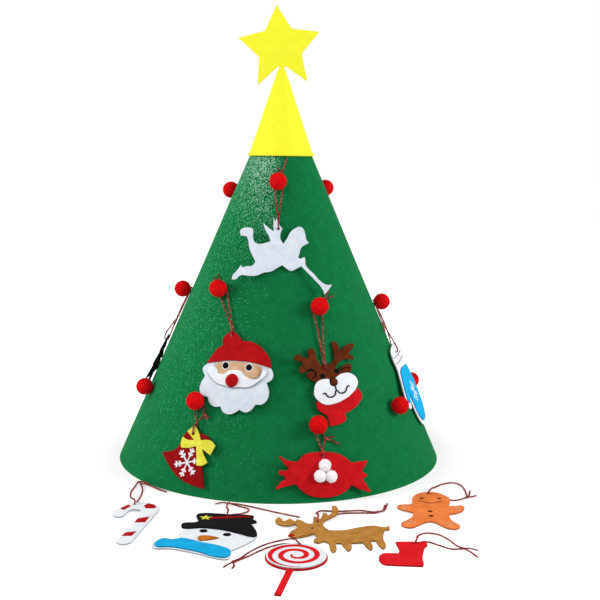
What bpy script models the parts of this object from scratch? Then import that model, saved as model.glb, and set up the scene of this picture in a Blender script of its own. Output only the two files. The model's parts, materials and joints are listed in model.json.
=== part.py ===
"""Felt christmas tree: a rolled cone of green felt with a lift-off star cap, pompoms that carry
hung felt ornaments on thread loops, and the set's loose ornaments laid out on the floor."""

import math

import bmesh
import bpy
from mathutils import Matrix, Vector

for thing in list(bpy.data.objects):
    bpy.data.objects.remove(thing, do_unlink=True)

# Driving sizes, in metres and degrees

wall_height = 0.576           # from the rim to the point where the wall's straight lines meet
base_radius = 0.250           # outside of the rim
wall_felt = 0.0025
wall_top_radius = 0.0178      # the rolled sheet is open above this
wall_facets = 80
rim_overrun = 0.010           # sheet below the floor, trimmed to a flat rim

seam_overlap = 0.034          # arc by which the outer flap laps the inner edge at the rim
seam_blend_angle = 50.0       # the sheet steps inwards over this much of the turn
tape_thickness = 0.0012
tape_width = 0.016
tape_margin = 0.012           # from the ends of the seam
tape_length_share = 0.90      # of the seam between its margins

fit_gap = 0.0003              # between touching pieces
curve_fit_gap = 0.0005        # between faceted round pieces that touch

cap_hem_drop = 0.109          # below the point where the wall's lines meet
cap_tip_rise = 0.021          # above that point
cap_tip_radius = 0.0051
cap_felt = 0.0015
cap_facets = 40

star_radius = 0.0642
star_inner_share = 0.53
star_felt = 0.003
star_lean = 4.8
star_rise = 0.030             # the star's middle above the cap's tip
star_centre_side = -0.003
star_tab_width = 0.0085
star_tab_drop = 0.016         # how far the tab goes down below the star's lower notch

pompom_radius = 0.0125
pompom_foot_radius = 0.0032
pompom_stand = 0.0012         # the ball's lowest point above the felt
pompom_steps = 12
pompom_rings = 5

thread_diameter = 0.0016
thread_gap = 0.0005           # a thread's clearance over what it lies on
thread_turn_radius = 0.0033   # how sharply a thread turns through a hole
hole_pass_share = 0.72        # of that turn, how far its middle stands off the hole's middle
thread_bend_step = 0.0066      # between points where a thread bends
thread_run_step = 0.0160      # between points where it runs nearly straight
thread_bend_angle = 16.0      # the least turn that counts as a bend
neck_loop_radius = 0.0072     # the loop round a pompom's foot
knot_radius = 0.0024
knot_spacing = 0.0022         # between the two ends that go into a knot
hole_radius = 0.0022
hole_sides = 12

dome_sides = 12
dome_rings = 5
knot_sides = 8
knot_rings = 5

board_felt = 0.002
layer_felt = 0.0015
layer_gap = fit_gap

# Where the pompoms are: azimuth from the front, and height as a share of wall_height
pompom_place_shares = {
    "pompom_top_1": (-1.9, 0.737),
    "pompom_top_2": (-112.0, 0.708),
    "pompom_top_3": (123.0, 0.715),
    "pompom_mid_1": (-37.2, 0.470),
    "pompom_mid_2": (22.9, 0.434),
    "pompom_mid_3": (-86.5, 0.444),
    "pompom_mid_4": (89.0, 0.413),
    "pompom_mid_5": (136.0, 0.430),
    "pompom_mid_6": (-150.0, 0.430),
    "pompom_low_1": (-72.5, 0.196),
    "pompom_low_2": (-33.1, 0.206),
    "pompom_low_3": (15.4, 0.166),
    "pompom_low_4": (55.5, 0.177),
    "pompom_low_5": (101.0, 0.180),
    "pompom_low_6": (144.0, 0.180),
    "pompom_low_7": (-164.0, 0.180),
    "pompom_low_8": (-120.0, 0.190),
}

# Outlines: (x share, y share, corner or round) of the piece's size, from its thread hole
C = "VECTOR"
R = "AUTO"

angel_size = 0.100
angel_outline_shares = [
    (-0.554, -0.037, R), (-0.518, 0.003, R), (-0.420, 0.014, R), (-0.366, -0.003, C),
    (-0.365, -0.063, R), (-0.365, -0.123, R), (-0.337, -0.212, C), (-0.263, -0.233, R),
    (-0.170, -0.211, R), (-0.117, -0.195, C), (-0.135, -0.121, R), (-0.187, -0.023, R),
    (-0.222, 0.091, C), (-0.151, 0.021, R), (-0.068, -0.039, C), (-0.072, 0.040, R),
    (-0.072, 0.186, C), (-0.048, 0.115, C), (-0.026, 0.170, C), (-0.004, 0.093, R),
    (0.059, 0.000, R), (0.034, -0.054, R), (0.031, -0.153, R), (0.072, -0.229, C),
    (0.129, -0.141, R), (0.181, -0.042, R), (0.254, 0.013, R), (0.316, 0.033, R), (0.360, 0.003, R),
    (0.393, -0.095, R), (0.408, -0.172, R), (0.444, -0.209, C), (0.392, -0.242, C),
    (0.335, -0.281, R), (0.307, -0.368, R), (0.288, -0.433, C), (0.314, -0.456, R),
    (0.378, -0.427, C), (0.391, -0.486, R), (0.391, -0.540, C), (0.508, -0.679, R),
    (0.640, -0.817, R), (0.712, -0.846, R), (0.771, -0.836, C), (0.715, -0.924, R),
    (0.661, -0.990, C), (0.644, -0.934, R), (0.613, -0.878, R), (0.532, -0.783, R),
    (0.328, -0.566, C), (0.262, -0.605, R), (0.180, -0.638, R), (0.119, -0.606, R),
    (0.057, -0.553, C), (-0.015, -0.596, R), (-0.107, -0.650, R), (-0.209, -0.667, R),
    (-0.311, -0.711, R), (-0.423, -0.717, R), (-0.536, -0.707, R), (-0.617, -0.771, R),
    (-0.662, -0.771, R), (-0.658, -0.718, R), (-0.598, -0.643, R), (-0.537, -0.557, C),
    (-0.512, -0.591, R), (-0.455, -0.572, R), (-0.374, -0.561, R), (-0.328, -0.502, C),
    (-0.365, -0.427, R), (-0.417, -0.297, R), (-0.433, -0.189, R), (-0.460, -0.116, R),
    (-0.543, -0.108, C),
]

santa_size = 0.100
santa_beard_shares = [
    (-0.26, -0.41, C), (-0.355, -0.50, R), (-0.305, -0.61, C), (-0.35, -0.74, R), (-0.32, -0.87, R),
    (-0.205, -0.91, C), (-0.16, -0.99, R), (-0.07, -1.035, R), (0.01, -1.02, C), (0.06, -1.09, R),
    (0.155, -1.12, R), (0.255, -1.08, R), (0.30, -1.04, C), (0.395, -1.07, R), (0.475, -1.03, R),
    (0.53, -0.945, C), (0.625, -0.935, R), (0.695, -0.84, R), (0.69, -0.73, R), (0.64, -0.63, C),
    (0.71, -0.58, R), (0.715, -0.49, R), (0.66, -0.41, C), (0.60, -0.30, R), (0.43, -0.14, R),
    (0.19, -0.11, R), (0.08, -0.03, R), (-0.01, 0.035, R), (-0.08, -0.05, R), (-0.08, -0.16, R),
    (-0.18, -0.27, R),
]
santa_hat_shares = [
    (-0.295, -0.425, C), (-0.25, -0.33, R), (-0.18, -0.215, R), (-0.10, -0.15, C),
    (-0.115, -0.07, R), (-0.07, 0.01, R), (-0.005, 0.055, R), (0.09, 0.02, R), (0.195, -0.07, C),
    (0.315, -0.07, R), (0.435, -0.11, R), (0.57, -0.21, R), (0.655, -0.325, R), (0.68, -0.425, C),
    (0.38, -0.365, R), (0.20, -0.36, R), (0.02, -0.365, R),
]
santa_face_shares = [
    (-0.14, -0.405, C), (0.02, -0.38, R), (0.20, -0.375, R), (0.38, -0.38, R), (0.52, -0.405, C),
    (0.53, -0.53, R), (0.34, -0.60, R), (0.13, -0.56, C), (-0.06, -0.62, R), (-0.155, -0.54, R),
]
santa_nose_radius = 0.0098
santa_nose_height = 0.006
santa_nose_shares = (0.128, -0.645)

deer_size = 0.100
deer_head_shares = [
    (-0.45, 0.20, R), (-0.38, 0.24, R), (-0.29, 0.18, C), (-0.22, 0.17, C), (-0.22, 0.27, R),
    (-0.17, 0.315, R), (-0.115, 0.27, R), (-0.105, 0.16, R), (-0.06, 0.06, C), (0.06, 0.055, C),
    (0.17, 0.11, C), (0.175, 0.245, R), (0.17, 0.36, R), (0.215, 0.39, R), (0.26, 0.34, R),
    (0.285, 0.24, C), (0.39, 0.31, R), (0.495, 0.34, R), (0.525, 0.29, R), (0.41, 0.19, C),
    (0.485, 0.13, R), (0.475, 0.095, R), (0.33, 0.11, R), (0.24, 0.08, R), (0.17, 0.00, C),
    (0.23, -0.045, C), (0.30, 0.025, R), (0.42, 0.04, R), (0.415, -0.05, R), (0.33, -0.12, R),
    (0.30, -0.25, C), (0.20, -0.36, R), (0.06, -0.40, R), (-0.06, -0.33, R), (-0.12, -0.20, C),
    (-0.23, -0.155, R), (-0.30, -0.09, R), (-0.285, -0.035, R), (-0.205, -0.02, R),
    (-0.13, -0.07, C), (-0.20, -0.005, C), (-0.29, -0.015, C), (-0.35, -0.04, R),
    (-0.405, -0.01, R), (-0.38, 0.05, R), (-0.32, 0.075, C), (-0.35, 0.13, C), (-0.435, 0.155, R),
]
deer_muzzle_shares = [
    (-0.23, -0.30, R), (-0.18, -0.20, R), (-0.085, -0.155, R), (0.035, -0.16, C),
    (0.025, -0.22, R), (0.068, -0.265, R), (0.15, -0.23, R), (0.12, -0.16, C), (0.19, -0.115, R),
    (0.295, -0.09, R), (0.41, -0.12, R), (0.47, -0.21, R), (0.45, -0.29, R), (0.35, -0.39, R),
    (0.20, -0.47, R), (0.025, -0.515, R), (-0.105, -0.51, R), (-0.19, -0.45, R), (-0.235, -0.38, R),
]
deer_scarf_shares = [
    (-0.215, -0.455, C), (-0.215, -0.555, R), (-0.14, -0.63, R), (-0.085, -0.675, C),
    (-0.078, -0.815, C), (0.16, -0.78, R), (0.20, -0.735, R), (0.19, -0.665, C),
    (0.35, -0.60, R), (0.467, -0.51, R), (0.51, -0.42, R), (0.47, -0.325, C), (0.33, -0.36, R),
    (0.20, -0.43, R), (0.05, -0.475, R), (-0.10, -0.465, R),
]

bell_size = 0.100
bell_outline_shares = [
    (-0.46, -0.33, C), (-0.32, -0.29, R), (-0.225, -0.23, R), (-0.17, -0.10, R), (-0.13, 0.01, R),
    (-0.02, 0.055, R), (0.13, 0.02, R), (0.267, -0.025, R), (0.26, -0.15, R), (0.21, -0.27, R),
    (0.25, -0.42, R), (0.37, -0.71, C), (0.19, -0.70, R), (-0.06, -0.64, R), (-0.26, -0.52, R),
]
bell_bow_shares = [
    (-0.01, 0.12, C), (0.08, 0.04, R), (0.15, -0.07, C), (0.31, -0.05, R), (0.407, -0.11, C),
    (0.36, -0.25, C), (0.20, -0.185, C), (0.27, -0.28, R), (0.34, -0.355, C), (0.27, -0.41, R),
    (0.17, -0.42, C), (0.14, -0.30, R), (0.094, -0.16, C), (0.00, -0.20, R), (-0.145, -0.22, C),
    (-0.17, -0.15, R), (-0.16, -0.06, C), (-0.09, -0.09, R), (0.04, -0.085, C), (0.00, -0.055, R),
    (-0.11, 0.02, C),
]

sweet_size = 0.100
sweet_outline_shares = [
    (-0.62, 0.035, C), (-0.47, -0.035, R), (-0.37, -0.05, C), (-0.265, 0.035, R), (-0.11, 0.06, R),
    (0.035, 0.055, R), (0.21, 0.02, R), (0.325, -0.045, R), (0.395, -0.115, C), (0.515, -0.11, R),
    (0.633, -0.105, C), (0.585, -0.19, R), (0.54, -0.235, C), (0.607, -0.315, C), (0.538, -0.36, C),
    (0.595, -0.455, R), (0.626, -0.535, C), (0.49, -0.495, R), (0.365, -0.43, C), (0.27, -0.50, R),
    (0.125, -0.553, R), (-0.053, -0.562, R), (-0.225, -0.525, R), (-0.352, -0.44, R),
    (-0.425, -0.352, C), (-0.548, -0.37, R), (-0.708, -0.39, C), (-0.64, -0.317, R),
    (-0.56, -0.26, C), (-0.655, -0.172, C), (-0.50, -0.137, C), (-0.565, -0.055, R),
]
berry_radius = 0.0088
berry_height_share = 0.55
berry_place_shares = [(0.00, -0.135), (-0.085, -0.275), (0.07, -0.29)]

fir_size = 0.100
fir_half_shares = [
    (0.00, 0.085, C), (0.20, -0.18, C), (0.12, -0.18, C), (0.33, -0.38, C), (0.20, -0.38, C),
    (0.45, -0.60, C), (0.08, -0.60, C), (0.08, -0.74, C),
]

mitten_size = 0.108
mitten_back_shares = [
    (-0.33, 0.07, R), (0.33, 0.07, R), (0.38, 0.01, R), (0.37, -0.20, C), (0.43, -0.40, R),
    (0.44, -0.75, R), (0.30, -1.03, R), (0.05, -1.12, R), (-0.20, -1.05, R), (-0.31, -0.80, R),
    (-0.32, -0.62, C), (-0.42, -0.74, R), (-0.57, -0.74, R), (-0.60, -0.60, R), (-0.47, -0.38, R),
    (-0.37, -0.20, C), (-0.38, 0.01, R),
]
mitten_front_shares = [
    (-0.29, -0.26, C), (0.31, -0.26, C), (0.37, -0.42, R), (0.38, -0.74, R), (0.26, -0.98, R),
    (0.05, -1.06, R), (-0.16, -1.00, R), (-0.25, -0.79, R), (-0.27, -0.53, C), (-0.42, -0.67, R),
    (-0.53, -0.66, R), (-0.53, -0.58, R), (-0.42, -0.40, R),
]

cane_size = 0.100
cane_outline_shares = [
    (-0.230, -0.333, R), (-0.225, -0.231, R), (-0.172, -0.139, R), (-0.082, 0.001, R),
    (-0.002, 0.057, R), (0.095, 0.071, R), (0.184, 0.048, R), (0.269, 0.001, R), (0.331, -0.079, R),
    (0.348, -0.170, R), (0.328, -0.339, R), (0.278, -0.643, R), (0.222, -0.974, R),
    (0.190, -1.152, R), (0.159, -1.296, R), (0.083, -1.355, R), (0.018, -1.329, R),
    (-0.024, -1.263, R), (-0.012, -1.167, R), (0.015, -1.088, R), (0.058, -0.877, R),
    (0.100, -0.648, R), (0.112, -0.411, R), (0.116, -0.210, C), (0.007, -0.173, R),
    (-0.039, -0.243, R), (-0.087, -0.428, R), (-0.144, -0.466, R), (-0.197, -0.431, R),
]

snowman_size = 0.100
snowman_head_shares = [
    (-0.485, -0.420, R), (-0.555, -0.550, R), (-0.525, -0.700, R), (-0.615, -0.760, R),
    (-0.675, -0.730, R), (-0.795, -0.780, R), (-0.845, -0.880, R), (-0.795, -1.000, R),
    (-0.645, -1.000, R), (-0.255, -1.150, R), (0.075, -1.300, R), (0.115, -1.260, R),
    (0.125, -1.060, R), (0.215, -0.940, R), (0.320, -0.800, R), (0.400, -0.640, R),
    (0.405, -0.520, R), (0.330, -0.320, R), (0.250, -0.060, R), (0.150, 0.040, R),
    (-0.220, 0.050, R), (-0.310, -0.060, R),
]
snowman_hat_shares = [
    (-0.554, -0.332, R), (-0.549, -0.246, R), (-0.501, -0.216, R), (-0.378, -0.197, R),
    (-0.356, -0.149, C), (-0.386, -0.048, R), (-0.400, 0.048, R), (-0.364, 0.103, R),
    (-0.163, 0.111, R), (0.050, 0.082, R), (0.299, 0.064, R), (0.343, 0.027, R), (0.333, -0.064, R),
    (0.373, -0.130, R), (0.386, -0.190, R), (0.315, -0.230, C), (0.371, -0.388, R),
    (0.408, -0.548, R), (0.396, -0.633, R), (0.344, -0.643, R), (0.251, -0.587, R),
    (0.102, -0.497, R), (-0.046, -0.426, R), (-0.193, -0.389, R), (-0.340, -0.375, R),
    (-0.479, -0.409, R), (-0.530, -0.398, R),
]
snowman_scarf_shares = [
    (-0.805, -0.860, R), (-0.715, -0.730, R), (-0.615, -0.760, R), (-0.505, -0.720, R),
    (-0.275, -0.830, R), (0.040, -0.985, R), (0.112, -1.080, R), (0.112, -1.215, R),
    (0.055, -1.275, R), (-0.245, -1.130, R), (-0.635, -0.980, R), (-0.775, -0.980, R),
]

lolly_disc_radius = 0.037
lolly_rim = 0.0035
lolly_hole_margin = 0.0085     # from the hole to the rim
lolly_stick_width = 0.0078
lolly_stick_length = 0.103    # from the disc's centre
lolly_disc_points = 20
lolly_stick_shares = (0.5, 1.0)

reindeer_size = 0.100
reindeer_outline_shares = [
    (-0.54, 0.07, R), (-0.50, 0.15, R), (-0.465, 0.10, R), (-0.44, 0.01, R), (-0.40, 0.04, R),
    (-0.36, 0.11, R), (-0.29, 0.01, C), (-0.26, 0.08, R), (-0.19, 0.02, R), (-0.14, -0.06, C),
    (-0.065, -0.07, C), (-0.055, 0.06, R), (-0.05, 0.18, R), (-0.01, 0.15, R), (0.03, 0.085, C),
    (0.055, 0.16, R), (0.075, 0.31, R), (0.125, 0.30, R), (0.135, 0.21, C), (0.185, 0.30, R),
    (0.195, 0.56, R), (0.255, 0.56, R), (0.28, 0.44, R), (0.255, 0.26, R), (0.16, 0.12, R),
    (0.085, 0.02, R), (0.07, -0.12, R), (0.14, -0.28, C), (0.33, -0.265, R), (0.50, -0.18, R),
    (0.72, -0.11, R), (0.84, -0.155, C), (0.91, -0.11, C), (0.90, -0.24, C), (0.84, -0.24, C),
    (0.81, -0.39, R), (0.80, -0.57, R), (0.815, -0.74, R), (0.775, -0.84, R), (0.735, -0.76, R),
    (0.70, -0.59, C), (0.63, -0.59, C), (0.65, -0.81, R), (0.62, -0.88, R), (0.58, -0.80, R),
    (0.54, -0.65, C), (0.40, -0.67, C), (0.385, -0.86, R), (0.35, -0.91, R), (0.31, -0.81, R),
    (0.275, -0.68, C), (0.205, -0.68, C), (0.205, -0.90, R), (0.165, -0.96, R), (0.135, -0.86, R),
    (0.11, -0.66, C), (0.06, -0.62, R), (0.00, -0.685, R), (-0.055, -0.64, R), (-0.045, -0.54, R),
    (-0.005, -0.54, C), (-0.05, -0.395, C), (-0.16, -0.475, R), (-0.28, -0.52, R), (-0.375, -0.46, R),
    (-0.33, -0.31, R), (-0.26, -0.20, R), (-0.285, -0.09, C), (-0.40, -0.14, R), (-0.505, -0.09, R),
]

ginger_size = 0.100
ginger_outline_shares = [
    (-0.265, -0.406, C), (-0.250, -0.226, R), (-0.213, -0.103, R), (-0.131, 0.008, R),
    (-0.003, 0.059, R), (0.118, 0.045, R), (0.208, -0.053, R), (0.266, -0.175, R),
    (0.249, -0.327, R), (0.207, -0.474, C), (0.303, -0.467, R), (0.387, -0.441, R),
    (0.418, -0.503, R), (0.393, -0.608, R), (0.328, -0.700, R), (0.254, -0.748, R),
    (0.179, -0.771, C), (0.169, -0.904, R), (0.194, -1.029, R), (0.255, -1.149, R),
    (0.240, -1.243, R), (0.168, -1.300, R), (0.080, -1.257, R), (0.001, -1.145, R),
    (-0.052, -1.066, R), (-0.104, -1.037, R), (-0.182, -1.082, R), (-0.273, -1.173, R),
    (-0.361, -1.252, R), (-0.446, -1.240, R), (-0.487, -1.179, R), (-0.479, -1.094, R),
    (-0.423, -1.018, R), (-0.370, -0.961, R), (-0.311, -0.852, R), (-0.292, -0.729, C),
    (-0.361, -0.674, R), (-0.438, -0.620, R), (-0.481, -0.552, R), (-0.474, -0.483, R),
    (-0.402, -0.433, R), (-0.326, -0.431, R),
]

stocking_size = 0.100
stocking_outline_shares = [
    (-0.239, 0.061, C), (-0.041, 0.066, R), (0.139, 0.052, C), (0.141, -0.035, R),
    (0.109, -0.091, C), (0.075, -0.209, R), (0.037, -0.438, R), (0.038, -0.548, R),
    (0.018, -0.631, C), (-0.191, -0.611, R), (-0.333, -0.598, R), (-0.428, -0.575, R),
    (-0.468, -0.500, R), (-0.476, -0.415, R), (-0.454, -0.328, R), (-0.405, -0.274, R),
    (-0.316, -0.268, R), (-0.232, -0.278, C), (-0.218, -0.207, R), (-0.220, -0.108, R),
    (-0.232, -0.028, R),
]

# Places of the hung ornaments: pompom, azimuth of the board, and the hole from the pompom
angel_hang = ("pompom_top_1", 2.0, -0.0001, -0.0704)
santa_hang = ("pompom_mid_1", -20.0, 0.0285, -0.0675)
deer_hang = ("pompom_mid_2", 25.0, -0.0046, -0.0886)
bell_hang = ("pompom_low_2", -30.0, 0.0044, -0.0452)
sweet_hang = ("pompom_low_3", 16.0, 0.0042, -0.0422)
fir_hang = ("pompom_mid_3", -95.0, 0.0000, -0.0840)
mitten_hang = ("pompom_mid_4", 77.0, -0.0160, -0.0790)

# Places of the loose ornaments: the hole from the tree's axis, and the turn of the piece
cane_place = (-0.1865, -0.2690, 0.0)
snowman_place = (-0.0595, -0.3170, 0.0)
lolly_place = (0.0300, -0.4410, -11.0)
reindeer_place = (0.0568, -0.3272, 0.0)
ginger_place = (0.2125, -0.2130, 0.0)
stocking_place = (0.1740, -0.3985, 0.0)

# Sizes that follow

half_angle = math.atan2(base_radius, wall_height)
wall_tangent = math.tan(half_angle)
thread_radius = thread_diameter / 2
board_lift = thread_diameter + 2 * thread_gap
layer_level = board_lift + board_felt + layer_gap
layer_top = layer_level + layer_felt
wall_cut_height = wall_height - wall_top_radius / wall_tangent
cap_hem_height = wall_height - cap_hem_drop
cap_tip_height = wall_height + cap_tip_rise
star_centre_height = cap_tip_height + star_rise
lolly_turn = math.radians(lolly_place[2])
front_reach = (-lolly_place[1] + lolly_stick_length * math.cos(lolly_turn)
               + lolly_stick_width / 2 * abs(math.sin(lolly_turn)))
tree_axis = Vector((0, (front_reach - base_radius) / 2, 0))   # the set is centred on its footprint

tree_collection = bpy.data.collections.new("felt_christmas_tree")
cutter_collection = bpy.data.collections.new("cutters")
for collection in (tree_collection, cutter_collection):
    bpy.context.scene.collection.children.link(collection)


def felt_material(name, colour, roughness=0.95):
    material = bpy.data.materials.new(name)
    material.use_nodes = True
    shader = material.node_tree.nodes["Principled BSDF"]
    shader.inputs["Base Color"].default_value = (*colour, 1)
    shader.inputs["Roughness"].default_value = roughness
    shader.inputs["Metallic"].default_value = 0
    return material


green_felt = felt_material("green_felt", (0.01, 0.21, 0.06))
yellow_felt = felt_material("yellow_felt", (0.90, 0.83, 0.02))
red_felt = felt_material("red_felt", (0.58, 0.01, 0.02))
white_felt = felt_material("white_felt", (0.88, 0.90, 0.92))
brown_felt = felt_material("brown_felt", (0.14, 0.03, 0.01))
tan_felt = felt_material("tan_felt", (0.50, 0.22, 0.03))
orange_felt = felt_material("orange_felt", (0.85, 0.20, 0.03))
peach_felt = felt_material("peach_felt", (0.85, 0.50, 0.32))
black_felt = felt_material("black_felt", (0.012, 0.012, 0.014))
blue_felt = felt_material("blue_felt", (0.01, 0.42, 0.86))
fir_felt = felt_material("dark_green_felt", (0.004, 0.06, 0.02))
tape_nylon = felt_material("tape_nylon", (0.02, 0.16, 0.05), 0.8)
pompom_wool = felt_material("pompom_wool", (0.65, 0.008, 0.015), 1.0)
red_thread = felt_material("red_thread", (0.55, 0.03, 0.03), 0.8)


def link(thing, parent=None, material=None, cutter=False):
    (cutter_collection if cutter else tree_collection).objects.link(thing)
    if parent is not None:
        thing.parent = parent
    if material is not None:
        thing.data.materials.append(material)
    if cutter:
        thing.hide_render = True
        thing.display_type = "WIRE"
    return thing


def pivot(name, matrix):
    empty = bpy.data.objects.new(name, None)
    empty.matrix_world = matrix
    return link(empty)


def boolean(thing, cutter, operation):
    modifier = thing.modifiers.new(cutter.name, "BOOLEAN")
    modifier.operation = operation
    modifier.solver = "EXACT"
    modifier.object = cutter


def smooth_faces(mesh, sharp_angle=30):
    mesh.shade_smooth()
    mesh.set_sharp_from_angle(angle=math.radians(sharp_angle))


def wall_frame(azimuth, height):
    """Axes on the wall's outer face: x to the right, y up the slope, z out of the felt."""
    turn = math.radians(azimuth)
    out = Vector((math.cos(half_angle) * math.sin(turn), -math.cos(half_angle) * math.cos(turn),
                  math.sin(half_angle)))
    right = Vector((math.cos(turn), math.sin(turn), 0))
    radius = (wall_height - height) * wall_tangent
    frame = Matrix((right, out.cross(right), out)).transposed().to_4x4()
    frame.translation = tree_axis + Vector((radius * math.sin(turn), -radius * math.cos(turn),
                                            height))
    return frame


def wall_clearance(point):
    """How far a point lies outside the wall's outer face."""
    spot = point - tree_axis
    return (math.hypot(spot.x, spot.y) - (wall_height - spot.z) * wall_tangent) * math.cos(half_angle)


# The rolled wall, with its seam at the back

def sheet_inset(azimuth, end_azimuth):
    """The sheet's inner edge steps in by its own felt and the tapes, along a smooth ramp."""
    step = wall_felt + 2 * tape_thickness + 3 * curve_fit_gap
    share = min(1.0, max(0.0, (azimuth - (end_azimuth - seam_blend_angle)) / seam_blend_angle))
    return step * share * share * (3 - 2 * share)


def seam_angles():
    lap = math.degrees(seam_overlap / base_radius)
    return 180.0 - lap / 2, -180.0 - lap / 2


def wall_point(azimuth, height, inset):
    return wall_frame(azimuth, height) @ Vector((0, 0, -inset))


def rolled_patch(name, first, last, low, high, steps, inset_of, thickness, material):
    """A patch of the rolled sheet between two azimuths, thickened inwards."""
    builder = bmesh.new()
    bmesh.ops.create_grid(builder, x_segments=steps, y_segments=1, size=0.5)
    for vertex in builder.verts:
        azimuth = first + (last - first) * (vertex.co.x + 0.5)
        height = low + (high - low) * (vertex.co.y + 0.5)
        vertex.co = wall_point(azimuth, height, inset_of(azimuth))
    bmesh.ops.recalc_face_normals(builder, faces=builder.faces)
    outward = wall_frame((first + last) / 2, low).to_3x3() @ Vector((0, 0, 1))
    middle = min(builder.faces, key=lambda face: -face.normal.dot(outward))
    if middle.normal.dot(outward) < 0:
        bmesh.ops.reverse_faces(builder, faces=builder.faces)
    mesh = bpy.data.meshes.new(name)
    builder.to_mesh(mesh)
    builder.free()
    smooth_faces(mesh)
    patch = link(bpy.data.objects.new(name, mesh), material=material)
    solid = patch.modifiers.new("felt", "SOLIDIFY")
    solid.thickness = thickness
    solid.offset = -1
    solid.use_even_offset = True
    return patch


def box_cutter(name, low, high):
    mesh = bpy.data.meshes.new(name)
    builder = bmesh.new()
    bmesh.ops.create_cube(builder, size=1)
    for vertex in builder.verts:
        vertex.co = Vector(low[k] + (high[k] - low[k]) * (vertex.co[k] + 0.5) for k in range(3))
    builder.to_mesh(mesh)
    builder.free()
    return link(bpy.data.objects.new(name, mesh), cutter=True)


def build_wall():
    inner_end, outer_end = seam_angles()
    sheet = rolled_patch("tree_cone", outer_end, inner_end + math.degrees(seam_overlap / base_radius),
                         -rim_overrun, wall_cut_height, wall_facets,
                         lambda azimuth: sheet_inset(azimuth, inner_end), wall_felt, green_felt)
    below = box_cutter("rim_trim", tree_axis + Vector((-2 * base_radius, -2 * base_radius,
                                                       -2 * base_radius)),
                       tree_axis + Vector((2 * base_radius, 2 * base_radius, 0)))
    boolean(sheet, below, "DIFFERENCE")
    return sheet


def build_tapes():
    """Hook tape under the outer flap and loop tape on the inner edge, face to face."""
    tape_turn = math.degrees(tape_width / base_radius) / 2
    room = wall_cut_height - 2 * tape_margin
    low = tape_margin + room * (1 - tape_length_share) / 2
    high = wall_cut_height - low
    for name, level in (("seam_hook_tape", wall_felt + curve_fit_gap),
                        ("seam_loop_tape", wall_felt + tape_thickness + 2 * curve_fit_gap)):
        rolled_patch(name, -180.0 - tape_turn, -180.0 + tape_turn, low, high, 2,
                     lambda azimuth, level=level: level, tape_thickness, tape_nylon)


# The pompoms

def pompom_mesh():
    """A ball on a short foot, turned about its own z axis with the foot at z = 0."""
    centre = pompom_stand + pompom_radius
    foot_angle = math.asin(pompom_foot_radius / pompom_radius)
    foot_top = centre - pompom_radius * math.cos(foot_angle)
    profile = [(0, centre + pompom_radius)]
    for ring in range(1, pompom_rings):
        angle = (math.pi - foot_angle) * ring / pompom_rings
        profile.append((pompom_radius * math.sin(angle), centre + pompom_radius * math.cos(angle)))
    profile += [(pompom_foot_radius, foot_top), (pompom_foot_radius, fit_gap), (0, fit_gap)]
    mesh = bpy.data.meshes.new("pompom")
    builder = bmesh.new()
    points = [builder.verts.new((x, 0, z)) for x, z in profile]
    for upper, lower in zip(points, points[1:]):
        builder.edges.new((upper, lower))
    builder.to_mesh(mesh)
    builder.free()
    return mesh


def build_pompoms():
    mesh = pompom_mesh()
    mesh.materials.append(pompom_wool)
    for name, (azimuth, height_share) in pompom_place_shares.items():
        ball = link(bpy.data.objects.new(name, mesh))
        inset = Vector((0, 0, -sheet_inset(azimuth, seam_angles()[0])))
        ball.matrix_world = wall_frame(azimuth, height_share * wall_height) @ Matrix.Translation(inset)
        turning = ball.modifiers.new("ball", "SCREW")
        turning.steps = turning.render_steps = pompom_steps
        turning.use_merge_vertices = True
        turning.merge_threshold = 0.00001
        turning.use_smooth_shade = True


# The cap and its star

def cap_hem_radius():
    """The hem's inside rests on the wall."""
    return (wall_height - cap_hem_height) * wall_tangent + curve_fit_gap / math.cos(half_angle) + cap_felt


def build_cap(lift):
    """A rolled hollow cone, slit across its tip for the star."""
    profile = [(cap_tip_radius, cap_tip_height), (cap_hem_radius(), cap_hem_height),
               (cap_hem_radius() - cap_felt, cap_hem_height),
               (cap_tip_radius - cap_felt, cap_tip_height)]
    mesh = bpy.data.meshes.new("star_cap")
    builder = bmesh.new()
    points = [builder.verts.new((x, 0, z)) for x, z in profile]
    for index, point in enumerate(points):
        builder.edges.new((point, points[(index + 1) % len(points)]))
    builder.to_mesh(mesh)
    builder.free()
    cap = link(bpy.data.objects.new("star_cap", mesh), lift, yellow_felt)
    turning = cap.modifiers.new("cone", "SCREW")
    turning.steps = turning.render_steps = cap_facets
    turning.use_merge_vertices = True
    turning.merge_threshold = 0.00001
    turning.use_smooth_shade = False
    notch_height = star_centre_height - star_radius * star_inner_share
    slit_half = star_felt / 2 + fit_gap
    slit = box_cutter("tip_slit",
                      tree_axis + Vector((-star_radius, -slit_half, notch_height - 2 * fit_gap)),
                      tree_axis + Vector((star_radius, slit_half, star_centre_height)))
    boolean(cap, slit, "DIFFERENCE")


def build_star(lift):
    points = []
    for index in range(10):
        angle = math.radians(90 + star_lean + 36 * index)
        reach = star_radius * (star_inner_share if index % 2 else 1)
        points.append((reach * math.cos(angle), reach * math.sin(angle)))
    notch = points.pop(5)
    drop = notch[1] - star_tab_drop
    above = notch[1] + star_tab_width
    points[5:5] = [(-star_tab_width / 2 - star_centre_side, above), (-star_tab_width / 2 - star_centre_side, drop),
                   (star_tab_width / 2 - star_centre_side, drop), (star_tab_width / 2 - star_centre_side, above)]
    curve = flat_curve("star", [(x, y, C) for x, y in points], 1.0, star_felt, 1)
    star = link(bpy.data.objects.new("star", curve), lift, yellow_felt)
    star.matrix_local = (Matrix.Translation(Vector((star_centre_side, 0, star_centre_height)))
                         @ Matrix.Rotation(math.radians(90), 4, "X"))


# Felt shapes cut from a flat sheet

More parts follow.
